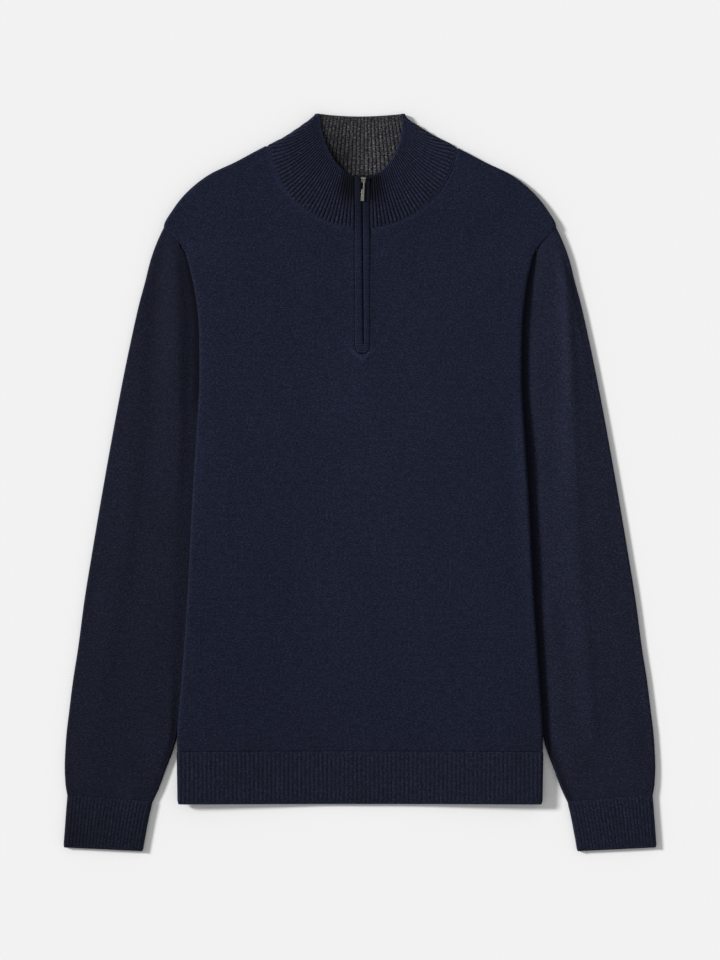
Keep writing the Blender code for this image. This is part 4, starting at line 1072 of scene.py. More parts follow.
SLEEVE_FOLDS = {
    # x, y, height, width on the left and on the right, going down the sleeve
    -1: {
        "trough": [(-204, 588, -0.2, 6, 6), (-209, 547, -0.9, 9, 8),
                   (-216, 474, -1.7, 12, 10), (-221, 370, -1.5, 14, 11),
                   (-231, 265, -1.1, 16, 12), (-246, 161, -0.9, 18, 12),
                   (-256, 88, 0.0, 18, 12)],
        "beside the body": [(-197, 585, 0.2, 8, 8), (-192, 547, 2.7, 8, 12),
                            (-190, 474, 3.1, 8, 15), (-190, 370, 1.7, 9, 17),
                            (-196, 265, 0.3, 10, 18), (-198, 200, 0.0, 10, 18)],
        "at the hem": [(-190, 170, 0.0, 8, 14), (-188, 120, 0.9, 8, 14), (-187, 88, 1.5, 8, 14),
                       (-190, 60, 0.6, 8, 12), (-196, 40, 0.0, 8, 12)],
    },
    1: {
        "ramp": [(208.5, 580, 0.4, 8, 6), (214.5, 547, 2.5, 14, 8), (219.4, 474, 3.2, 20, 8),
                 (223.3, 370, 3.2, 22, 14), (228.0, 265, 2.6, 22, 18), (237.2, 161, 2.0, 20, 14),
                 (243, 88, 1.5, 16, 12), (247, 50, 0.0, 12, 10)],
        "crease": [(208.5, 580, 0.3, 4, 6), (214.5, 547, 1.6, 4, 6), (219.4, 474, 2.2, 4.5, 6),
                   (223.3, 370, 1.5, 5, 12), (228.0, 265, 0.9, 5, 16), (237.2, 161, 1.1, 4.5, 12),
                   (243, 88, 0.8, 4.5, 10), (247, 50, 0.0, 4, 8)],
    },
}


def hidden_length(rows):
    """How far each row runs under the body, from its inner end."""
    shares = np.linspace(0, 1, 201)
    x = mix(rows[:, 2:3], rows[:, 0:1], shares)
    y = mix(rows[:, 3:4], rows[:, 1:2], shares)
    out = x > body_edge_x(y)
    first = np.where(out.any(axis=1), out.argmax(axis=1), 0)
    return shares[first] * np.linalg.norm(rows[:, :2] - rows[:, 2:4], axis=1)


def flat_ring(side, rows, radii, heights, shares, lift):
    """Points and outward directions round a flat tube, for each of its rows."""
    outer, inner = rows[:, :2] * (side, 1), rows[:, 2:4] * (side, 1)
    outer_r, inner_r = radii
    width = np.linalg.norm(outer - inner, axis=1)
    across = (inner - outer) / width[:, None]
    points, ways = [], []

    def add(distance, z, out, up):
        spot = outer + across * distance[:, None]
        points.append(np.column_stack((spot, z + 0 * width)))
        ways.append(np.column_stack((across * out, np.full(len(rows), up))))

    roll = np.radians(np.linspace(0, 180, ROLL_STEPS + 1)[1:-1])
    for t in np.linspace(0, 1, UNDER_COLUMNS):
        add(mix(outer_r, width - inner_r, t), 0.0, 0.0, -1.0)
    for a in roll:
        out, up = math.sin(a), -math.cos(a)
        add(width - inner_r + inner_r * out, inner_r + inner_r * up, out, up)
    for k, t in enumerate(shares):
        add(mix(width - inner_r, outer_r, t), heights[:, k] + lift[:, k], 0.0, 1.0)
    for a in roll[::-1]:
        out, up = -math.sin(a), -math.cos(a)
        add(outer_r + outer_r * out, outer_r + outer_r * up, out, up)
    return np.stack(points, axis=1), np.stack(ways, axis=1)


def upper_side(count, shade):
    """Shade for all columns of a flat tube, from that of its upper side."""
    painted_shade = np.zeros((len(shade), count))
    first = UNDER_COLUMNS + ROLL_STEPS - 1
    painted_shade[:, first:first + shade.shape[1]] = shade
    return painted_shade


def armhole_bow(side, rows, points):
    """How far a sleeve's top edge bows out to meet the curved armhole seam."""
    outer, inner = rows[:, :2] * (side, 1), rows[:, 2:4] * (side, 1)
    width = np.linalg.norm(outer - inner, axis=1)[:, None]
    across = (outer - inner) / width
    t = np.sum((points[..., :2] - inner[:, None]) * across[:, None], axis=2) / width
    table = np.array(ARMHOLE_BOW)
    fade = 1 - ease(run_along(rows[:, :2]) / 30)[:, None]
    amount = np.interp(t, table[:, 0], table[:, 1]) * fade
    up = np.column_stack((-across[:, 1] * side, across[:, 0] * side))
    return up[:, None] * amount[..., None]


def tube_cut(points):
    """Flat places of a tube, unrolled from its first column."""
    steps = np.linalg.norm(np.diff(points, axis=1, append=points[:, :1]), axis=2)
    around = np.concatenate((np.zeros((len(points), 1)), np.cumsum(steps, axis=1)), axis=1)
    along = -run_along(points[:, points.shape[1] // 3])
    return np.dstack((around - around[:, -1:] / 2,
                      np.repeat(along[:, None], around.shape[1], axis=1)))


print("sleeve:", len(SLEEVE_ROWS), "rows in its table")

# %% Knit the sleeves
sleeve_ends = {}


def knit_sleeve(name, side):
    places = run_along(SLEEVE_ROWS[:, :2])
    rows = through(places, SLEEVE_ROWS, fill_in(places, 6.0))
    outer_r, crown = rows[:, 4], rows[:, 5]
    shares = spread(52)
    width = np.linalg.norm(rows[:, :2] - rows[:, 2:4], axis=1)
    tuck = hidden_length(rows)[:, None]
    run = (width - INNER_R - outer_r)[:, None]
    from_inner = run * shares
    from_outer = run - from_inner
    dive = np.interp(rows[:, 1], *np.array(DIVE[side]).T)[:, None]
    rise_in = ease((from_inner - tuck) / dive)
    base = mix(2 * INNER_R, 2 * outer_r[:, None], ease(from_inner / (tuck + BODY_REACH)))
    tilt = np.clip((from_inner - tuck) / (run - tuck), 0.0, 1.0)
    bulge = SWELL[side] * crown[:, None] * (0.8 * rise_in + 0.2 * tilt)
    bulge *= ease(from_outer / SHOULDER[side])
    place_in = ((INNER_R + from_inner) / width[:, None])[..., None]
    across = mix(rows[:, None, 2:4], rows[:, None, :2], place_in)
    x, y = across[..., 0] * side, across[..., 1]
    lift = waves(x, y, 0.35, 70.0, 11 + side)
    for stations in SLEEVE_FOLDS[side].values():
        lift += fold_height(x, y, stations)
    from_top = run_along(rows[:, :2])[:, None]
    seams = TOP_SEAM * bell(from_top, SEAM_WIDTH)
    seams = seams + CUFF_SEAM * bell(from_top[-1] - from_top, SEAM_WIDTH)
    lift = lift * rise_in * ease(from_outer / 6) * ease(from_top / 12) - seams * rise_in
    points, ways = flat_ring(side, rows, (outer_r, INNER_R), base + bulge, shares, lift)
    points[..., :2] += armhole_bow(side, rows, points)
    sleeve_ends[side] = points[-1] - ways[-1] * LINK_SEAT - (0.0, 0.3, 0.0)
    # painted shadow in the gap beside the body, lighter low down on the right sleeve
    start, fade = GAP_CHANGE
    first = UNDER_COLUMNS + ROLL_STEPS - 1
    low_part = ease((start - points[:, first:first + 1, 1]) / fade)
    gap_shadow = mix(GAP_DARK, GAP_DARK_LOW[side], low_part)
    gap_shadow = gap_shadow * (1 - ease((from_inner - tuck) / GAP_SHADE[side]))
    return shell(name, points, points - ways * SLEEVE_KNIT, tube_cut(points),
                 sleeve_knit[side], painted_shade=upper_side(points.shape[1], gap_shadow), ring=True)


for side, word in SIDES:
    fit(knit_sleeve(f"sleeve_{word}_cloth", side), "navy_knit", f"sleeve_{word}")

# %% [markdown]
# ## The cuffs
# Each cuff is ribbed in 22 ribs that lean with it. The ribs run to the
# cast-off edge, where the band is thinner.

# %% Knit the cuffs
CUFF_RIBS = 22
CUFF_RELIEF = 0.5
CUFF_RADIUS = 3.0
CUFF_CROWN = 0.8
CUFF_ROWS = np.array([
    # outer_x, outer_y, inner_x, inner_y, ribbed, drop
    (305.5, 10.0, 216.5, 2.8, 0.3, 0.8),
    (305.7, 8.2, 216.9, 1.2, 0.8, 0.2),
    (305.9, 5.0, 217.5, -2.0, 1.0, 0.0),
    (306.5, -2.0, 219.0, -8.0, 1.0, 0.0),
    (308.0, -22.0, 222.8, -27.0, 1.0, 0.0),
    (309.2, -38.0, 225.6, -42.5, 1.0, 0.0),
    (309.4, -41.0, 226.0, -45.3, 0.9, 0.0),
    (309.4, -43.0, 226.4, -47.1, 0.4, 0.3),
    (309.0, -45.0, 227.2, -49.0, 0.0, 1.2),
])


def knit_cuff(name, side):
    places = run_along(CUFF_ROWS[:, :2])
    rows = through(places, CUFF_ROWS, fill_in(places, 7.0))
    shares = np.linspace(0, 1, CUFF_RIBS * 8 + 1)
    ribs = np.tile(shares * CUFF_RIBS, (len(rows), 1))
    ribbed, drop = rows[:, 4:5], rows[:, 5:6]
    heights = 2 * CUFF_RADIUS + CUFF_CROWN * np.sin(math.pi * shares) * (1 - drop / 2)
    lift = rib_height(ribs) * CUFF_RELIEF * ribbed - drop
    radii = (np.full(len(rows), CUFF_RADIUS), CUFF_RADIUS)
    points, ways = flat_ring(side, rows, radii, heights, shares, lift)
    # painted shade in the grooves between the ribs
    painted_shade = upper_side(points.shape[1], 0.55 * rib_hollow(ribs) * ribbed)
    wall = (RIB_KNIT - 0.6 * drop)[..., None]
    return shell(name, points, points - ways * wall, tube_cut(points), cuff_knit[side],
                 painted_shade=painted_shade, ring=True)


for side, word in SIDES:
    fit(knit_cuff(f"cuff_{word}_ribbing", side), "navy_knit", f"cuff_{word}")

# %% [markdown]
# ## The collar
# The stand collar is one doubled ribbed strip. It runs from the zip along the
# neck seam, folds round at the side of the neck, and returns behind. Its ribs
# are deep and fan out from the opening to the seam. On their way up they curve,
# and a few more come over the side fold, because the opening's edge is pulled
# wider than the seam. At the top of the opening they fade into the strip's
# fold, and a pale painted highlight runs along its rim.

# %% Sizes of the collar
COLLAR_KNIT = 3.0
COLLAR_BACK_KNIT = 2.4
COLLAR_RIBS = 30        # on each side of the zip, along the neck seam
CROSSING_RIBS = 6       # more come over the side fold on their way to the opening
FOLD_RIBS = 3           # round the side fold
SIDE_RIBS = 54          # in all, from the zip to the middle of the back
COLLAR_RELIEF = {-1: (1.3, 0.9), 1: (1.6, 1.45)}      # at the zip, and at the side fold
RIB_SHADE = {-1: (1.0, 0.75), 1: (1.0, 1.2)}            # painted shade of the grooves, in the same places
CREST_HIGHLIGHT = {-1: 0.0, 1: 0.4}      # painted highlight of the crests towards the side fold
COLLAR_AXIS_Z = 3.7
COLLAR_ROLL = 2.5
HEAD_SQUEEZE = {-1: 0.35, 1: 0.5}   # the fold is pressed flatter at its top
COLLAR_CROWN = 0.9
COLLAR_STAND = 1.0      # the opening's edge stands up by this
COLLAR_BEND = {
    # share of the way up the side fold, and how far the fold curves inwards there
    -1: [(0, 0), (0.05, 0), (0.2, 1.5), (0.34, 2.7), (0.52, 3.2), (0.68, 3.4), (0.79, 3.2),
         (0.9, 2.3), (1, 0.6)],
    1: [(0, 0), (0.1, 0), (0.25, 1.6), (0.38, 3.1), (0.55, 4.2), (0.71, 4.8), (0.82, 4.9),
        (0.92, 3.8), (1, 0.6)],
}
COLLAR_BACK_DIP = 3.0
OPENING_DEPTH = 67.0
OPENING_TUCK = {-1: 1.7, 1: -1.6}
ZIP_GROOVE = {-1: 0.55, 1: 1.0}     # depth of the groove beside the zip
SPOTS = 240             # along each edge of the strip, to space its ribs evenly


def even_spots(curve, count, start=0.0, end=1.0):
    """Points at equal distances along a curve, which takes many places at once."""
    dense = curve(np.linspace(start, end, 801))
    run = run_along(dense)
    return read_off(np.linspace(0, run[-1], count + 1), run, dense)


def opening_point(side, share):
    """The front top edge of the collar, from the zip at 0 to the fold at 1."""
    half = abs(FOLD_HEAD_X[side] - AXIS_X)
    angle = mix(math.asin((SLOT_HALF + 0.1) / half), math.pi / 2, share)
    tuck = OPENING_TUCK[side] * np.maximum(0.0, np.sin(math.pi * share)) ** 0.7
    x = AXIS_X + side * (half * np.sin(angle) - tuck)
    return np.column_stack((x, FOLD_HEAD_Y - OPENING_DEPTH * np.cos(angle)))


def collar_plan(side, rib, q):
    """Places of ribs at a share of their way up, their turn, and their share of the way
    from the zip to the fold."""
    foot_end, head_end, out = fold_line(side)
    start = math.asin((SLOT_HALF + 0.1) / NECK_HALF)
    feet = even_spots(lambda a: neck_point(side, a, COLLAR_INSET), SPOTS, start, NECK_END[side])
    heads = even_spots(lambda share: opening_point(side, share), SPOTS)
    evenly = np.linspace(0, 1, SPOTS + 1)
    in_front = COLLAR_RIBS + CROSSING_RIBS * q
    share = np.minimum(rib / in_front, 1.0)
    turn = np.clip((rib - in_front) / FOLD_RIBS, 0, 1) * 180
    behind = np.clip((SIDE_RIBS - rib) / (SIDE_RIBS - in_front - FOLD_RIBS), 0, 1)
    nape = back_neck_point(side, behind, SEAM)
    nape += (foot_end - back_neck_point(side, 1.0, SEAM)) * behind[:, None]
    back_head = np.column_stack((head_end[0] * behind,
                                 head_end[1] - COLLAR_BACK_DIP * (1 - behind ** 2)))
    front = (turn < 180)[:, None]
    foot = np.where(front, read_off(share, evenly, feet), nape)
    head = np.where(front, read_off(share, evenly, heads), back_head)
    near = np.where(turn < 180, share, behind) ** 4
    bends = np.array(COLLAR_BEND[side])
    bend = through(bends[:, 0], bends[:, 1:], q)[:, 0]
    return mix(foot, head, q[:, None]) - out * (bend * near)[:, None], turn, share


EDGE_STATIONS = [
    # distance from the opening's edge, half of the wall there, ribbed
    (0.0, 0.10, 0.0),
    (0.3, 0.34, 0.0),
    (0.8, 0.48, 0.1),
    (1.5, 0.52, 0.2),
    (2.4, 0.52, 0.35),
    (3.4, 0.51, 0.6),
    (4.6, 0.50, 0.9),
    (6.5, 0.50, 1.0),
]
FOOT_STATIONS = [(0.0, 0.38, 0.0), (0.8, 0.46, 0.3), (2.0, 0.5, 0.7), (3.6, 0.5, 1.0)]
COLLAR_MIDDLE = 15      # lines between those near the foot and those near the edge
COLUMNS_PER_RIB = 8
FINE_RIBS = 42          # those behind are seen only from the back, and are coarser
BACK_RELIEF = 0.35      # of the ribs behind, pressed flat where they lie
RIM_HIGHLIGHT = 0.3         # how pale the painted highlight along the rim is
DIP_AT, DIP_WIDTH, DIP_DEPTH = 2.5, 3.8, 0.9        # in ribs, of the dip beside the zip
GROOVE_AT, GROOVE_WIDTH, GROOVE_DEPTH = 0.35, 0.6, 0.9      # and of the groove in it


def collar_stations(length):
    """Share of the way up, half wall and rib strength, for each line."""
    rows = [(d / length, half + 0 * length, ribbed + 0 * length)
            for d, half, ribbed in FOOT_STATIONS]
    low = FOOT_STATIONS[-1][0] / length
    high = 1 - EDGE_STATIONS[-1][0] / length
    for i in range(1, COLLAR_MIDDLE + 1):
        rows.append((mix(low, high, i / (COLLAR_MIDDLE + 1)), 0.5 + 0 * length, 1.0 + 0 * length))
    rows.extend((1 - d / length, half + 0 * length, ribbed + 0 * length)
                for d, half, ribbed in reversed(EDGE_STATIONS))
    return rows


print("collar ribs:", 2 * SIDE_RIBS)

# %% Knit the collar
def collar_walls(side):
    out = fold_line(side)[2]
    up_fold = np.array((-out[1] * side, out[0] * side))
    rib = np.concatenate((np.linspace(0, FINE_RIBS, FINE_RIBS * COLUMNS_PER_RIB + 1),
                          np.linspace(FINE_RIBS, SIDE_RIBS, 49)[1:]))
    foot, _, _ = collar_plan(side, rib, np.zeros(len(rib)))
    head, _, _ = collar_plan(side, rib, np.ones(len(rib)))
    length = np.linalg.norm(head - foot, axis=1)
    pitch = run_along(foot)[COLLAR_RIBS * COLUMNS_PER_RIB] / COLLAR_RIBS
    outer, inner, cut, painted_shade = [], [], [], []
    for q, half, ribbed in collar_stations(length):
        plan, turn, share = collar_plan(side, rib, q)
        a = np.radians(turn)
        way = np.column_stack((out[0] * np.sin(a), out[1] * np.sin(a), np.cos(a)))
        wall = mix(COLLAR_KNIT, COLLAR_BACK_KNIT, turn / 180)
        behind = turn > 150
        relief = np.where(behind, BACK_RELIEF, mix(*COLLAR_RELIEF[side], share ** 2))
        # the rim takes a painted highlight where its ribs have faded, and near the zip the ribs
        # reach further up
        rim = RIM_HIGHLIGHT * (1 - ribbed) ** 2 * (q > 0.5)
        ribbed = ribbed ** np.where(q > 0.5, mix(0.4, 1.0, ease((share - 0.45) / 0.35)), 1.0)
        sideways = COLLAR_ROLL * (1 - HEAD_SQUEEZE[side] * ease((q - 0.7) / 0.3))
        level = out[1] * np.sin(a) * (sideways + 0.4) / up_fold[1] * ease((q - 0.8) / 0.2)
        spot = np.column_stack((plan - up_fold * level[:, None], np.full(len(q), COLLAR_AXIS_Z)))
        spot += way * np.column_stack((sideways, sideways, np.full(len(q), COLLAR_ROLL)))
        facing_up = np.maximum(0.0, np.cos(a))
        dip = bell(rib - DIP_AT, DIP_WIDTH) * ease((q - 0.25) / 0.5)
        groove = ZIP_GROOVE[side] * bell(rib - GROOVE_AT, GROOVE_WIDTH) * ease((q - 0.45) / 0.2)
        spot[:, 2] += facing_up * (
            COLLAR_CROWN * np.sin(math.pi * q) - DIP_DEPTH * dip - GROOVE_DEPTH * groove
            + COLLAR_STAND * np.sin(math.pi * share) * q ** 3)
        rise = wall * half + (rib_height(rib) - 0.1 * behind) * relief * ribbed
        outer.append(spot + way * rise[:, None])
        inner.append(spot - way * (wall * np.minimum(half, 0.5))[:, None])
        cut.append(np.column_stack((rib * pitch * side, q * length)))
        # painted shade in the grooves and in the dip and groove beside the zip, and a painted
        # highlight on the crests and along the rim
        sunk = rib_hollow(rib)
        crest = CREST_HIGHLIGHT[side] * (1 - np.minimum(1.0, sunk / 0.4)) * share
        shade = (sunk * mix(*RIB_SHADE[side], share ** 2) - crest) * ribbed
        painted_shade.append(np.minimum(1.0, shade + 0.9 * dip + 0.6 * groove - rim))
    outer, inner = np.array(outer), np.array(inner)
    outer[..., 2] = np.maximum(outer[..., 2], 0.0)
    return outer, inner, np.array(cut), np.array(painted_shade)


right_walls, left_walls = collar_walls(-1), collar_walls(1)
middle_back = right_walls[2][0, -1, 0]
left_walls[2][..., 0] -= left_walls[2][0, -1, 0] - middle_back
joined = [np.concatenate((right, left[:, -2::-1]), axis=1)
          for right, left in zip(right_walls, left_walls)]
collar = shell("collar_ribbing", *joined[:3], rib_knit, painted_shade=joined[3])
fit(collar, "navy_knit", "collar")

# %% [markdown]
# ## Inside the collar
# Through the opening the inside of the collar's back can be seen. It is a
# facing in a flecked charcoal wool, ribbed in 24 fine ribs.

# %% Knit the facing
FACING_RIBS = 24
FACING_RELIEF = 0.7
FACING_FOOT, FACING_HEAD = 54.0, 42.0
FACING_Z, FACING_KNIT = 2.7, 1.4
FACING_GAP, FACING_LEAN = 0.6, 1.3      # from the seams; it stands up on one side
FACING_HALF_CUT = 46
FACING_STATIONS = np.array([
    # share of the way up, thickness there
    (0, 0.5), (0.01, 0.9), (0.03, 1), (0.1, 1), (0.2, 1), (0.35, 1), (0.5, 1), (0.65, 1),
    (0.8, 1), (0.9, 1), (0.955, 0.97), (0.985, 0.85), (1, 0.5),
])


def knit_facing():
    across = np.linspace(-1, 1, FACING_RIBS * 8 + 1)
    ribs = (across + 1) / 2 * FACING_RIBS
    share = np.abs(across) * FACING_FOOT / NECK_HALF
    foot_y = mix(BACK_NECK_Y, neck_point(1, NECK_END[1])[1], share ** NECK_CURVE)
    foot_y += SEAM + FACING_GAP
    head_y = FOLD_HEAD_Y - COLLAR_BACK_DIP * (1 - across ** 2) - FACING_GAP
    q, thick = FACING_STATIONS.T[..., None]
    x = mix(FACING_FOOT, FACING_HEAD, q) * across + 1.0 * q
    y = mix(foot_y, head_y, q)
    rise = rib_height(ribs) * FACING_RELIEF * np.where((q > 0.02) & (q < 0.94), 1, 0.2)
    lean = FACING_LEAN * ease((q - 0.2) / 0.6) * ease((-across - 0.2) / 0.5)
    upper = np.dstack((x, y, FACING_Z + FACING_KNIT * thick + rise + lean))
    lower = np.dstack((x, y, np.full(x.shape, FACING_Z)))
    cut = np.dstack((np.tile(across * FACING_HALF_CUT, (len(q), 1)), y))
    # painted shade where one side lies in the collar's shadow and in the grooves, and painted
    # light in the middle and a little all over
    sunk = 0.75 * bell(across + 0.55, 0.42) * (1 - ease((q - 0.1) / 0.8))
    painted_light = -0.55 * bell(across - 0.25, 0.35) * (1 - ease((q - 0.2) / 0.9)) - 0.12
    grooves = 0.95 * rib_hollow(ribs)
    painted_shade = np.clip(np.where(grooves > 0.12, grooves, painted_light * (1 - sunk)) + sunk, -1, 1)
    return shell("collar_facing_ribbing", upper, lower, cut, facing_knit, painted_shade=painted_shade)


fit(knit_facing(), "charcoal_knit", "collar_facing")

# %% [markdown]
# ## The knitted edging of the zip
# Two narrow bands of close knitting cover the zip. Their stitches run across
# them, so they show fine level ridges. Each band is a padded little wall that
# is lofted through many sections, with a ridge in every second one.

# %% Knit the edging
BAND_TOP, BAND_BOTTOM = 654.6, 470.6
SLIT_LEAN = 1.7
BAND_COURSE = 1.9      # height of one ridge
BAND_RELIEF = 0.7
PULL_X = 3.55           # middle of slider and pull
BAND_STATIONS = np.array([
    # y, inner_from_slit, outer_from_axis, rise
    (BAND_BOTTOM, -0.9, 2.6, 0.0),
    (BAND_BOTTOM + 0.4, -0.9, 4.0, 0.5),
    (BAND_BOTTOM + 1.2, -0.9, 5.4, 0.9),
    (BAND_BOTTOM + 2.6, -0.9, 6.5, 1.1),
    (BAND_BOTTOM + 4.6, -0.9, 7.3, 1.2),
    (BAND_BOTTOM + 7.0, -0.7, 7.7, 1.2),
    (BAND_BOTTOM + 9.5, 0.25, 7.8, 1.2),
    (BAND_BOTTOM + 14.0, 0.65, 7.8, 1.2),
    (540.0, 0.7, 7.8, 1.2),
    (648.4, 0.7, 7.8, 1.4),
    (649.4, 3.3, 7.8, 1.4),
    (653.4, 3.3, 7.8, 1.4),
    (BAND_TOP - 0.4, 3.4, 7.6, 1.0),
    (BAND_TOP, 3.7, 7.1, 0.4),
])
BAND_SECTION = np.array([
    # across from the slit to the outer edge, height from bottom to top
    (0.06, 0.0), (0.35, 0.0), (0.65, 0.0), (0.94, 0.0), (1.0, 0.2), (1.0, 0.45),
    (0.985, 0.68), (0.93, 0.85), (0.84, 0.94), (0.7, 0.985), (0.5, 1.0), (0.3, 0.985),
    (0.16, 0.94), (0.07, 0.85), (0.015, 0.68), (0.0, 0.45), (0.0, 0.2),
])
BAND_SIZE = (7.0, 3.0)  # width and height of that section
BAND_ROUND = 20.4       # all round the band's flat cloth
BAND_SINK = 1.5         # below the front
BAND_STEP = 0.04        # the left band stands this much higher, the right one lower
BAND_SHADE = (0.6, 580, 60)     # painted shade: the bands darken towards the collar: by, above, within


def front_height(y):
    """Height of the front along the zip."""
    return np.interp(y, np.append(BODY_ROWS[:, 2], 600.0), np.append(BODY_ROWS[:, 4], NECK_H))


def slit_x(y):
    middle = (BAND_TOP + BAND_BOTTOM) / 2
    return AXIS_X + 0.5 + SLIT_LEAN * (middle - y) / (BAND_TOP - BAND_BOTTOM)


def capped_loft(name, rings, cut, finish, painted_shade=0.0):
    """A closed body through rings of points, with a fan at each end."""
    rows, count = rings.shape[:2]
    hubs = [rings[0].mean(axis=0), rings[-1].mean(axis=0)]
    points = np.vstack((rings.reshape(-1, 3), hubs))
    faces, spots = ring_faces(rows, count, cut)
    for c in range(count):
        d = (c + 1) % count
        faces.append([d, c, rows * count])
        faces.append([(rows - 1) * count + c, (rows - 1) * count + d, rows * count + 1])
        spots.extend((cut[0, c + 1], cut[0, c], cut[0, c], cut[-1, c], cut[-1, c + 1], cut[-1, c]))
    marks = np.append((np.zeros((rows, count)) + painted_shade).reshape(-1), (0.0, 0.0))
    return cloth_object(name, place(points), faces, spots, finish, marks)


def knit_band(name, side):
    y = fill_in(BAND_STATIONS[:, 0], BAND_COURSE / 6)
    inner_gap, outer, rise = read_off(y, BAND_STATIONS[:, 0], BAND_STATIONS[:, 1:]).T
    near = np.where(inner_gap > 1.5, PULL_X, slit_x(y)) + side * inner_gap
    far = AXIS_X + side * outer
    bottom = front_height(y) - BAND_SINK
    top = front_height(y) + rise + BAND_STEP * side
    across, height = BAND_SECTION.T
    x = mix(near[:, None], far[:, None], across)
    z = mix(bottom[:, None], top[:, None], height)
    ridge = BAND_RELIEF * (np.abs(np.sin(math.pi * y / BAND_COURSE)) ** 0.7 - 1.0)[:, None]
    z = z + ridge * ease((height - 0.3) / 0.6)
    edges = (across > 0.97) * 1.0 - (across < 0.03) * 1.0
    x = x - side * ridge * 0.6 * edges
    rings = np.dstack((x, np.repeat(y[:, None], len(across), axis=1), z))
    around = np.append(run_along(BAND_SECTION * BAND_SIZE), BAND_ROUND)
    darkest, start, fade = BAND_SHADE
    # painted shade between the ridges and towards the collar
    shaded = darkest * ease((y - start) / fade)[:, None] - ridge / BAND_RELIEF
    return capped_loft(name, rings, tube_grid(around * side, y), edging_knit,
                       np.minimum(1.0, shaded))


for side, word in SIDES:
    fit(knit_band(f"zip_edging_{word}", side), "navy_knit", f"zip_band_{word}")

# %% [markdown]
# ## Linking and seams
# The collar is joined to the front stitch by stitch. What shows is a thin
# raised chain along its foot. A cord of 1.3 mm with small beads along it, one
# for each stitch, draws that chain. A finer cord closes each cuff's seam.

# %% Link the collar
LINK_RADIUS = 0.65
LINK_STITCH = 2.4
CUFF_LINK_RADIUS = 0.6
CORD_SIDES = 8
CORD_WAIST, CORD_TIP = 0.72, 0.4        # shares of its radius, between stitches and at its ends
LINK_INSET, LINK_SINK = 0.35, 0.3       # where the chain lies on the front
LINK_TURN = 3.9         # radius of its last bend, down at the side of the neck


def chain_cord(name, line, radius, stitch, finish=linking_yarn):
    """A thin closed cord along points, swelling once for each stitch."""
    run = run_along(line)
    steps = int(run[-1] / (stitch / 4))
    wanted = np.linspace(0, run[-1], steps + 1)
    spots = read_off(wanted, run, line)
    ahead = np.gradient(spots, axis=0)
    ahead /= np.linalg.norm(ahead, axis=1)[:, None]
    beside = np.cross(ahead, (0.0, 0.0, 1.0))
    sideways = np.linalg.norm(beside, axis=1)[:, None]
    beside = np.where(sideways > 0.02, beside / np.maximum(sideways, 0.02), (0.0, 1.0, 0.0))
    above = np.cross(beside, ahead)
    bead = np.abs(np.sin(math.pi * wanted / stitch))
    size = radius * (CORD_WAIST + (1 - CORD_WAIST) * bead)
    size[[0, -1]] *= CORD_TIP
    rings = np.stack([spots + (beside * math.cos(a) + above * math.sin(a)) * size[:, None]
                      for a in np.linspace(0, 2 * math.pi, CORD_SIDES + 1)[:-1]], axis=1)
    return capped_loft(name, rings, tube_grid(np.linspace(0, 6.0, CORD_SIDES + 1), wanted),
                       finish)


links, cuff_links = [], {}
for side, word in SIDES:
    angle = np.linspace(math.asin((SLOT_HALF + 0.8) / NECK_HALF), NECK_END[side] - 0.02, 200)
    link_z = NECK_H - LINK_SINK
    line = np.column_stack((neck_point(side, angle, LINK_INSET), np.full(len(angle), link_z)))
    turn = np.linspace(0, math.pi / 2, 10)[1:, None]
    hub = np.append(neck_point(side, NECK_END[side], LINK_INSET), link_z - LINK_TURN)
    shoulder, up = np.append(fold_line(side)[2], 0.0), np.array((0, 0, 1))
    line = np.vstack((line, hub + LINK_TURN * (shoulder * np.sin(turn) + up * np.cos(turn))))
    cord = chain_cord(f"collar_linking_{word}", line, LINK_RADIUS, LINK_STITCH)
    links.append(fit(cord, "navy_knit"))
for side, word in SIDES:
    ring = np.vstack((sleeve_ends[side], sleeve_ends[side][:2]))
    cord = chain_cord(f"cuff_linking_{word}", ring, CUFF_LINK_RADIUS, LINK_STITCH,
                      cuff_knit[side])
    cuff_links[word] = fit(cord, "navy_knit")

# %% [markdown]
# ## The zip
# Between the bands lies a nylon coil zip on a woven tape. Only a dark line of
# it shows. The coil is one small loop of round wire for each tooth, and the
# teeth of the two sides alternate. One tooth is modelled and then copied.

# %% Zip materials
def plain_weave(name, code, light, thread):
    """Woven tape: threads go over and under each other, thread millimetres wide."""
    made, tree, shader = new_material(name, code, 0.8)
    where = add_node(tree, "TexCoord").outputs["Object"]
    scale = 1 / (thread * MM) / 20 * math.pi
    warp, weft = (add_node(tree, "TexWave", {"Vector": where, "Scale": scale},
                           bands_direction=way).outputs["Fac"] for way in "XY")
    both = add_node(tree, "Math", {0: warp, 1: weft}, operation='MULTIPLY')
    tint = add_node(tree, "Mix", {"Factor": both, "A": linear(code), "B": linear(light)},
                    data_type='RGBA')
    tree.links.new(tint.outputs["Result"], shader.inputs["Base Color"])
    bump = add_node(tree, "Bump", {"Height": both, "Distance": 0.15 * MM})
    tree.links.new(bump.outputs["Normal"], shader.inputs["Normal"])
    return made


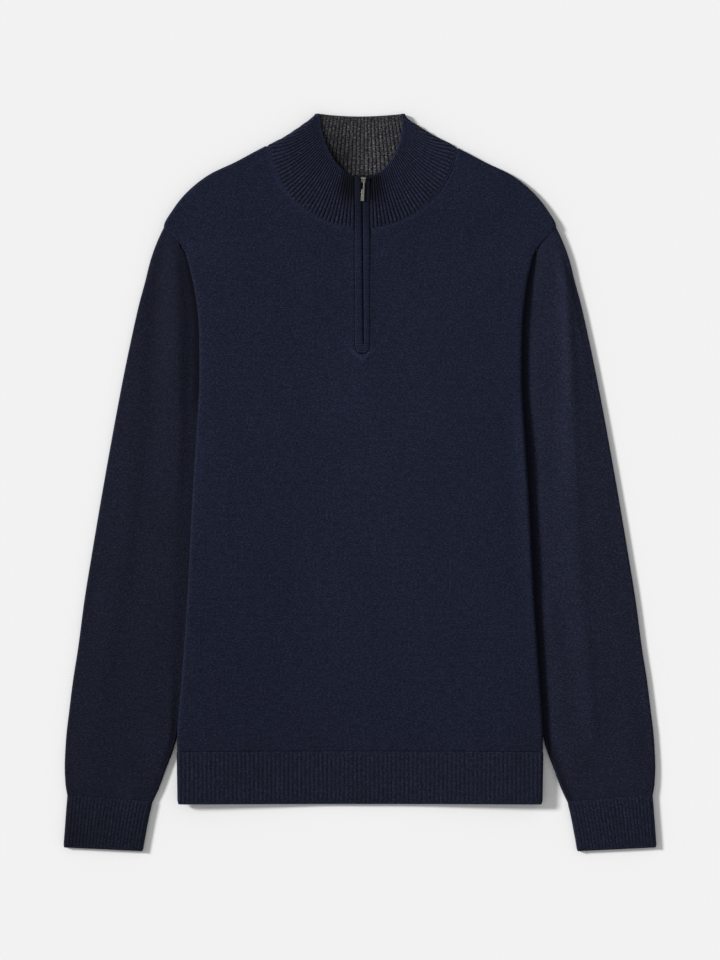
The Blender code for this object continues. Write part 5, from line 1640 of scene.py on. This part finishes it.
def tumbled_metal(name, code, dull, grain):
    """Zinc casting, tumbled and plated: soft gloss with fine wear, grain in millimetres."""
    made, tree, shader = new_material(name, code, 0.36)
    shader.inputs["Metallic"].default_value = 1.0
    where = add_node(tree, "TexCoord").outputs["Object"]
    wear = add_node(tree, "TexNoise", {"Vector": where, "Scale": 1 / (grain * MM),
                                       "Detail": 5.0, "Roughness": 0.7}).outputs["Fac"]
    tint = add_node(tree, "Mix", {"Factor": wear, "A": linear(dull), "B": linear(code)},
                    data_type='RGBA')
    tree.links.new(tint.outputs["Result"], shader.inputs["Base Color"])
    rough = add_node(tree, "MapRange", {"Value": wear, "To Min": 0.3, "To Max": 0.5})
    tree.links.new(rough.outputs["Result"], shader.inputs["Roughness"])
    bump = add_node(tree, "Bump", {"Height": wear, "Distance": 0.03 * MM})
    tree.links.new(bump.outputs["Normal"], shader.inputs["Normal"])
    return made


tape_weave = plain_weave("woven polyester tape", "0d0f16", "1d202c", 0.5)
# Nylon wire, moulded into a coil: a faint gloss along each dark loop.
coil_nylon = new_material("moulded nylon coil", "16171d", 0.45)[0]
nickel = tumbled_metal("tumbled nickel plate", "a9a79d", "77756c", 0.7)
print("zip materials:", tape_weave.name, coil_nylon.name, nickel.name)

tape = bpy.data.objects["zip_tape"]
tape.data.materials.clear()
tape.data.materials.append(tape_weave)

# %% Coil teeth
ZIP_BOTTOM, CHAIN_TOP = 474.0, 648.0
TOOTH_PITCH = 1.3
TOOTH_WIRE, TOOTH_WIDTH = 0.32, 2.4
TOOTH_SHIFT = 0.5       # each tooth sits this far to its own side
CHAIN_SINK = 2.15       # below the front
ACROSS = (0, math.pi / 2, 0)    # turns an upright primitive to lie across the zip


def at(x, y, z):
    """A place on the garment as a location in metres."""
    return tuple(place((x, y, z)))


def select_only(*things):
    """These alone are selected, and the first is active."""
    bpy.ops.object.select_all(action='DESELECT')
    for thing in things:
        thing.select_set(True)
    bpy.context.view_layer.objects.active = things[0]


def freeze(thing):
    """The piece's place, turn and scale go into its mesh."""
    select_only(thing)
    bpy.ops.object.transform_apply(location=True, rotation=True, scale=True)
    return thing


def start_cylinder(location, radius, depth, vertices):
    """A cylinder primitive that lies across the zip, active and alone."""
    bpy.ops.object.select_all(action='DESELECT')
    bpy.ops.mesh.primitive_cylinder_add(vertices=vertices, radius=radius * MM,
                                        depth=depth * MM, location=location,
                                        rotation=ACROSS)
    return freeze(bpy.context.object)


def start_cube(name, low, high):
    """A cube primitive between two corners, active and alone."""
    bpy.ops.object.select_all(action='DESELECT')
    low, high = Vector(at(*low)), Vector(at(*high))
    bpy.ops.mesh.primitive_cube_add(size=1.0, location=(low + high) / 2, scale=high - low)
    bpy.context.object.name = name
    return freeze(bpy.context.object)


def edit_all(thing):
    """Edit mode with the whole piece selected."""
    select_only(thing)
    bpy.ops.object.mode_set(mode='EDIT')
    bpy.ops.mesh.select_all(action='SELECT')


def leave_edit():
    bpy.ops.object.mode_set(mode='OBJECT')


def round_edges(thing, name, width, segments, **settings):
    """Bevel the active piece's edges, by a width in millimetres."""
    added = thing.modifiers.new(name, 'BEVEL')
    added.width, added.segments = width * MM, segments
    for key_name, value in settings.items():
        setattr(added, key_name, value)
    bpy.ops.object.modifier_apply(modifier=added.name)


def settle(thing, finish, smooth=40.0):
    """Leave the piece at the origin, unturned and unscaled, normals outwards."""
    freeze(thing)
    edit_all(thing)
    bpy.ops.mesh.normals_make_consistent(inside=False)
    leave_edit()
    bpy.ops.object.shade_smooth_by_angle(angle=math.radians(smooth))
    thing.data.materials.clear()
    thing.data.materials.append(finish)


tooth = start_cylinder((0, 0, 0), TOOTH_WIRE, TOOTH_WIDTH, 8)
round_edges(tooth, "rounded head", 0.12, 1)
tooth_mesh = tooth.data
chain_mesh = bmesh.new()
count = int((CHAIN_TOP - ZIP_BOTTOM - 2) / TOOTH_PITCH)
for i in range(count):
    y = ZIP_BOTTOM + 2.5 + i * TOOTH_PITCH
    shift = TOOTH_SHIFT if i % 2 else -TOOTH_SHIFT
    copied = tooth_mesh.copy()
    copied.transform(Matrix.Translation(at(slit_x(y) + shift, y, front_height(y) - CHAIN_SINK)))
    chain_mesh.from_mesh(copied)
    bpy.data.meshes.remove(copied)
bpy.data.objects.remove(tooth)
chain_data = bpy.data.meshes.new("zip_coil")
chain_mesh.to_mesh(chain_data)
chain_mesh.free()
coil = bpy.data.objects.new("zip_coil", chain_data)
bpy.context.scene.collection.objects.link(coil)
coil.data.materials.append(coil_nylon)
coil.data.shade_smooth()
fit(coil, "zip_teeth", "zip_chain")
print("coil teeth:", count)

# %% [markdown]
# ## The slider and its pull
# The slider is a small zinc casting. A cube is pulled into its body and crown,
# the edges are bevelled, and two round lugs hold a pin. The pull turns on that
# pin: a ring round the pin, a narrow neck and a flat bar with a sunk middle.

# %% Cast the slider
SLIDER_HALF, SLIDER_LOW, SLIDER_TOP = 2.5, 648.4, 654.6
CROWN_LOW, CROWN_TOP = 650.0, 654.6
PIN_Y, PIN_Z = 652.6, NECK_H + 2.6
PIN_RADIUS = 0.5
LUG_RADIUS, LUG_HALF, LUG_GAP = 1.5, 2.4, 1.3
CROWN_RISE = 0.65
SHARP_EDGE = math.radians(50)   # on a rounded casting, only sharper edges are bevelled


def pick_faces(thing, chosen):
    """Select the faces whose normal passes a test, in edit mode."""
    leave_edit()
    for part in (*thing.data.edges, *thing.data.vertices):
        part.select = False
    for face in thing.data.polygons:
        face.select = bool(chosen(face.normal))
        if face.select:
            for i in face.vertices:
                thing.data.vertices[i].select = True
    bpy.ops.object.mode_set(mode='EDIT')
    bpy.ops.mesh.select_mode(type='FACE')


def pull_out(millimetres):
    """Extrude the selected faces upwards, or downwards below zero."""
    bpy.ops.mesh.extrude_region_move(TRANSFORM_OT_translate={"value": (0, 0, millimetres * MM)})
    leave_edit()


slider = start_cube("slider_cast", (PULL_X - SLIDER_HALF, SLIDER_LOW, NECK_H - 2.5),
                    (PULL_X + SLIDER_HALF, SLIDER_TOP, NECK_H - 1.75))
pick_faces(slider, lambda normal: normal.z > 0.9)
bpy.ops.mesh.inset(thickness=0.9 * MM, depth=0)
pull_out(0.05)
round_edges(slider, "cast edges", 0.2, 2)
crown = start_cube("slider_crown", (PULL_X - LUG_HALF, CROWN_LOW, NECK_H - 1.9),
                   (PULL_X + LUG_HALF, CROWN_TOP, NECK_H + CROWN_RISE))
pick_faces(crown, lambda normal: normal.z > 0.9)
bpy.ops.transform.resize(value=(0.9, 0.86, 1.0),
                         center_override=at(PULL_X, PIN_Y - 0.1, NECK_H + CROWN_RISE))
leave_edit()
round_edges(crown, "cast edges", 0.35, 3)
lugs = []
for lug_side in (-1, 1):
    middle = PULL_X + lug_side * (LUG_GAP + LUG_HALF) / 2
    lug = start_cylinder(at(middle, PIN_Y, PIN_Z), LUG_RADIUS, LUG_HALF - LUG_GAP, 32)
    pick_faces(lug, lambda normal: normal.z < -0.5)
    pull_out(-1.0)
    round_edges(lug, "cast edges", 0.18, 2, angle_limit=SHARP_EDGE)
    lugs.append(lug)
pin = start_cylinder(at(PULL_X, PIN_Y, PIN_Z), PIN_RADIUS, 2 * (LUG_HALF - 0.2), 24)
round_edges(pin, "pin ends", 0.08, 2)
select_only(slider, crown, *lugs, pin)
bpy.ops.object.join()
settle(slider, nickel)
fit(slider, "nickel", "zip_slider")

# %% Cast the pull
BAR_HALF, BAR_LENGTH, BAR_START, BAR_THICK = 1.65, 12.2, 11.2, 1.3
PULL_TILT = 3.3         # degrees, it hangs loose on its pin
TILT_BELOW_PIN = 4.0    # and turns about this place
NECK_HALF_WIDTH, NECK_THICK, NECK_ASIDE = 0.85, 1.1, 0.7
NECK_PINCH = 0.28       # share of its width that the neck loses in its middle
EYE_RADIUS, EYE_WIRE, EYE_WIDEN = 1.15, 0.34, 0.95 / 0.34 * 0.9     # the ring on the pin
bar_top = PIN_Y - BAR_START
pull = start_cube("pull_bar", (PULL_X - BAR_HALF, bar_top - BAR_LENGTH, PIN_Z - BAR_THICK / 2),
                  (PULL_X + BAR_HALF, bar_top, PIN_Z + BAR_THICK / 2))
pick_faces(pull, lambda normal: abs(normal.z) > 0.9)
bpy.ops.mesh.inset(thickness=0.7 * MM, depth=-0.22 * MM, use_individual=True)
pick_faces(pull, lambda normal: normal.y > 0.9)
bpy.ops.transform.resize(value=(0.86, 1.0, 0.9), center_override=at(PULL_X, bar_top, PIN_Z))
leave_edit()
round_edges(pull, "cast edges", 0.22, 3)
neck_x = PULL_X + NECK_ASIDE
neck = start_cube("pull_neck",
                  (neck_x - NECK_HALF_WIDTH, bar_top - 0.4, PIN_Z - NECK_THICK / 2),
                  (neck_x + NECK_HALF_WIDTH, PIN_Y - 1.1, PIN_Z + NECK_THICK / 2))
edit_all(neck)
bpy.ops.mesh.subdivide(number_cuts=4)
leave_edit()
for vertex in neck.data.vertices:
    along = (vertex.co.y - at(0, bar_top, 0)[1]) / (BAR_START * MM)
    pinch = 1 - NECK_PINCH * math.sin(math.pi * min(max(along, 0.0), 1.0))
    vertex.co.x = mix(neck_x * MM, vertex.co.x, pinch)
round_edges(neck, "cast edges", 0.2, 2, angle_limit=SHARP_EDGE)
bpy.ops.object.select_all(action='DESELECT')
bpy.ops.mesh.primitive_torus_add(location=at(PULL_X, PIN_Y, PIN_Z), rotation=ACROSS,
                                 major_segments=32, minor_segments=12,
                                 major_radius=EYE_RADIUS * MM, minor_radius=EYE_WIRE * MM)
eye = freeze(bpy.context.object)
for vertex in eye.data.vertices:
    vertex.co.x = PULL_X * MM + (vertex.co.x - PULL_X * MM) * EYE_WIDEN
select_only(pull, neck, eye)
bpy.ops.object.join()
pull.name = "pull_tab"
edit_all(pull)
bpy.ops.transform.rotate(value=math.radians(PULL_TILT), orient_axis='Z',
                         center_override=at(PULL_X, PIN_Y - TILT_BELOW_PIN, PIN_Z))
leave_edit()
settle(pull, nickel)
fit(pull, "nickel", "zip_pull", body="zip_pull")

# %% [markdown]
# ## The table
# The table is a seamless sheet of matt white paper. It takes the sweater's soft
# shadow, and a faint tooth keeps it from looking like plain light. Paper's own
# tooth is too fine to show, so it is drawn coarser.

# %% Table
FLOOR_HALF = 6.0        # metres
PAPER_TOOTH = 2.5       # millimetres
paper, paper_tree, paper_shader = new_material("matt studio paper", "f1f1f1", 0.95)
paper_shader.inputs["Specular IOR Level"].default_value = 0.1
paper_where = add_node(paper_tree, "TexCoord").outputs["Object"]
paper_grain = add_node(paper_tree, "TexNoise",
                       {"Vector": paper_where, "Scale": 1 / (PAPER_TOOTH * MM), "Detail": 3.0})
paper_tint = add_node(paper_tree, "Mix", {"Factor": paper_grain, "A": linear("f0f0f0"),
                                          "B": linear("f2f2f2")}, data_type='RGBA')
paper_tree.links.new(paper_tint.outputs["Result"], paper_shader.inputs["Base Color"])
bpy.ops.object.select_all(action='DESELECT')
bpy.ops.mesh.primitive_plane_add(size=2 * FLOOR_HALF, location=(0, 0, -0.0002))
table = bpy.context.object
table.name = "table"
settle(table, paper)
print("table", 2 * FLOOR_HALF, "m across")

# %% [markdown]
# ## The cut of each piece
# A pattern cutter would want each piece's flat size. Each shell carries its own
# flat places as a UV map in millimetres, so its size and area are read there.

# %% Flat sizes
def flat_size(thing):
    """Width, length and area of the cut, in metres, from the cloth's UV map."""
    uv = np.empty(len(thing.data.loops) * 2)
    thing.data.uv_layers["cloth"].data.foreach_get("uv", uv)
    uv = uv.reshape(-1, 2) * MM
    total = 0.0
    for face in thing.data.polygons:
        p = uv[face.loop_start:face.loop_start + face.loop_total]
        q = np.roll(p, -1, axis=0)
        total += abs(float(np.sum(p[:, 0] * q[:, 1] - q[:, 0] * p[:, 1]))) / 2
    width, length = np.ptp(uv, axis=0)
    return float(width), float(length), min(total / 2, float(width * length))


FOLDED_STRIP = (0.060, 0.552)       # width and length of the cloth in a folded side


def declare(thing, size=None):
    width, length, area = size or flat_size(thing)
    print(f"{thing.name}: {width * 1000:.0f} x {length * 1000:.0f} mm, {area * 10000:.0f} cm2")


pieces = bpy.data.objects
declare(pieces["back_cloth"])
declare(pieces["hem_back_ribbing"])
declare(pieces["front_cloth"])
declare(pieces["hem_front_ribbing"])
for _, word in SIDES:
    declare(pieces[f"side_fold_{word}_cloth"],
            size=(*FOLDED_STRIP, FOLDED_STRIP[0] * FOLDED_STRIP[1]))
    declare(pieces[f"sleeve_{word}_cloth"])
    declare(pieces[f"cuff_{word}_ribbing"])
    declare(pieces[f"zip_edging_{word}"])
declare(pieces["collar_ribbing"])
declare(pieces["collar_facing_ribbing"])
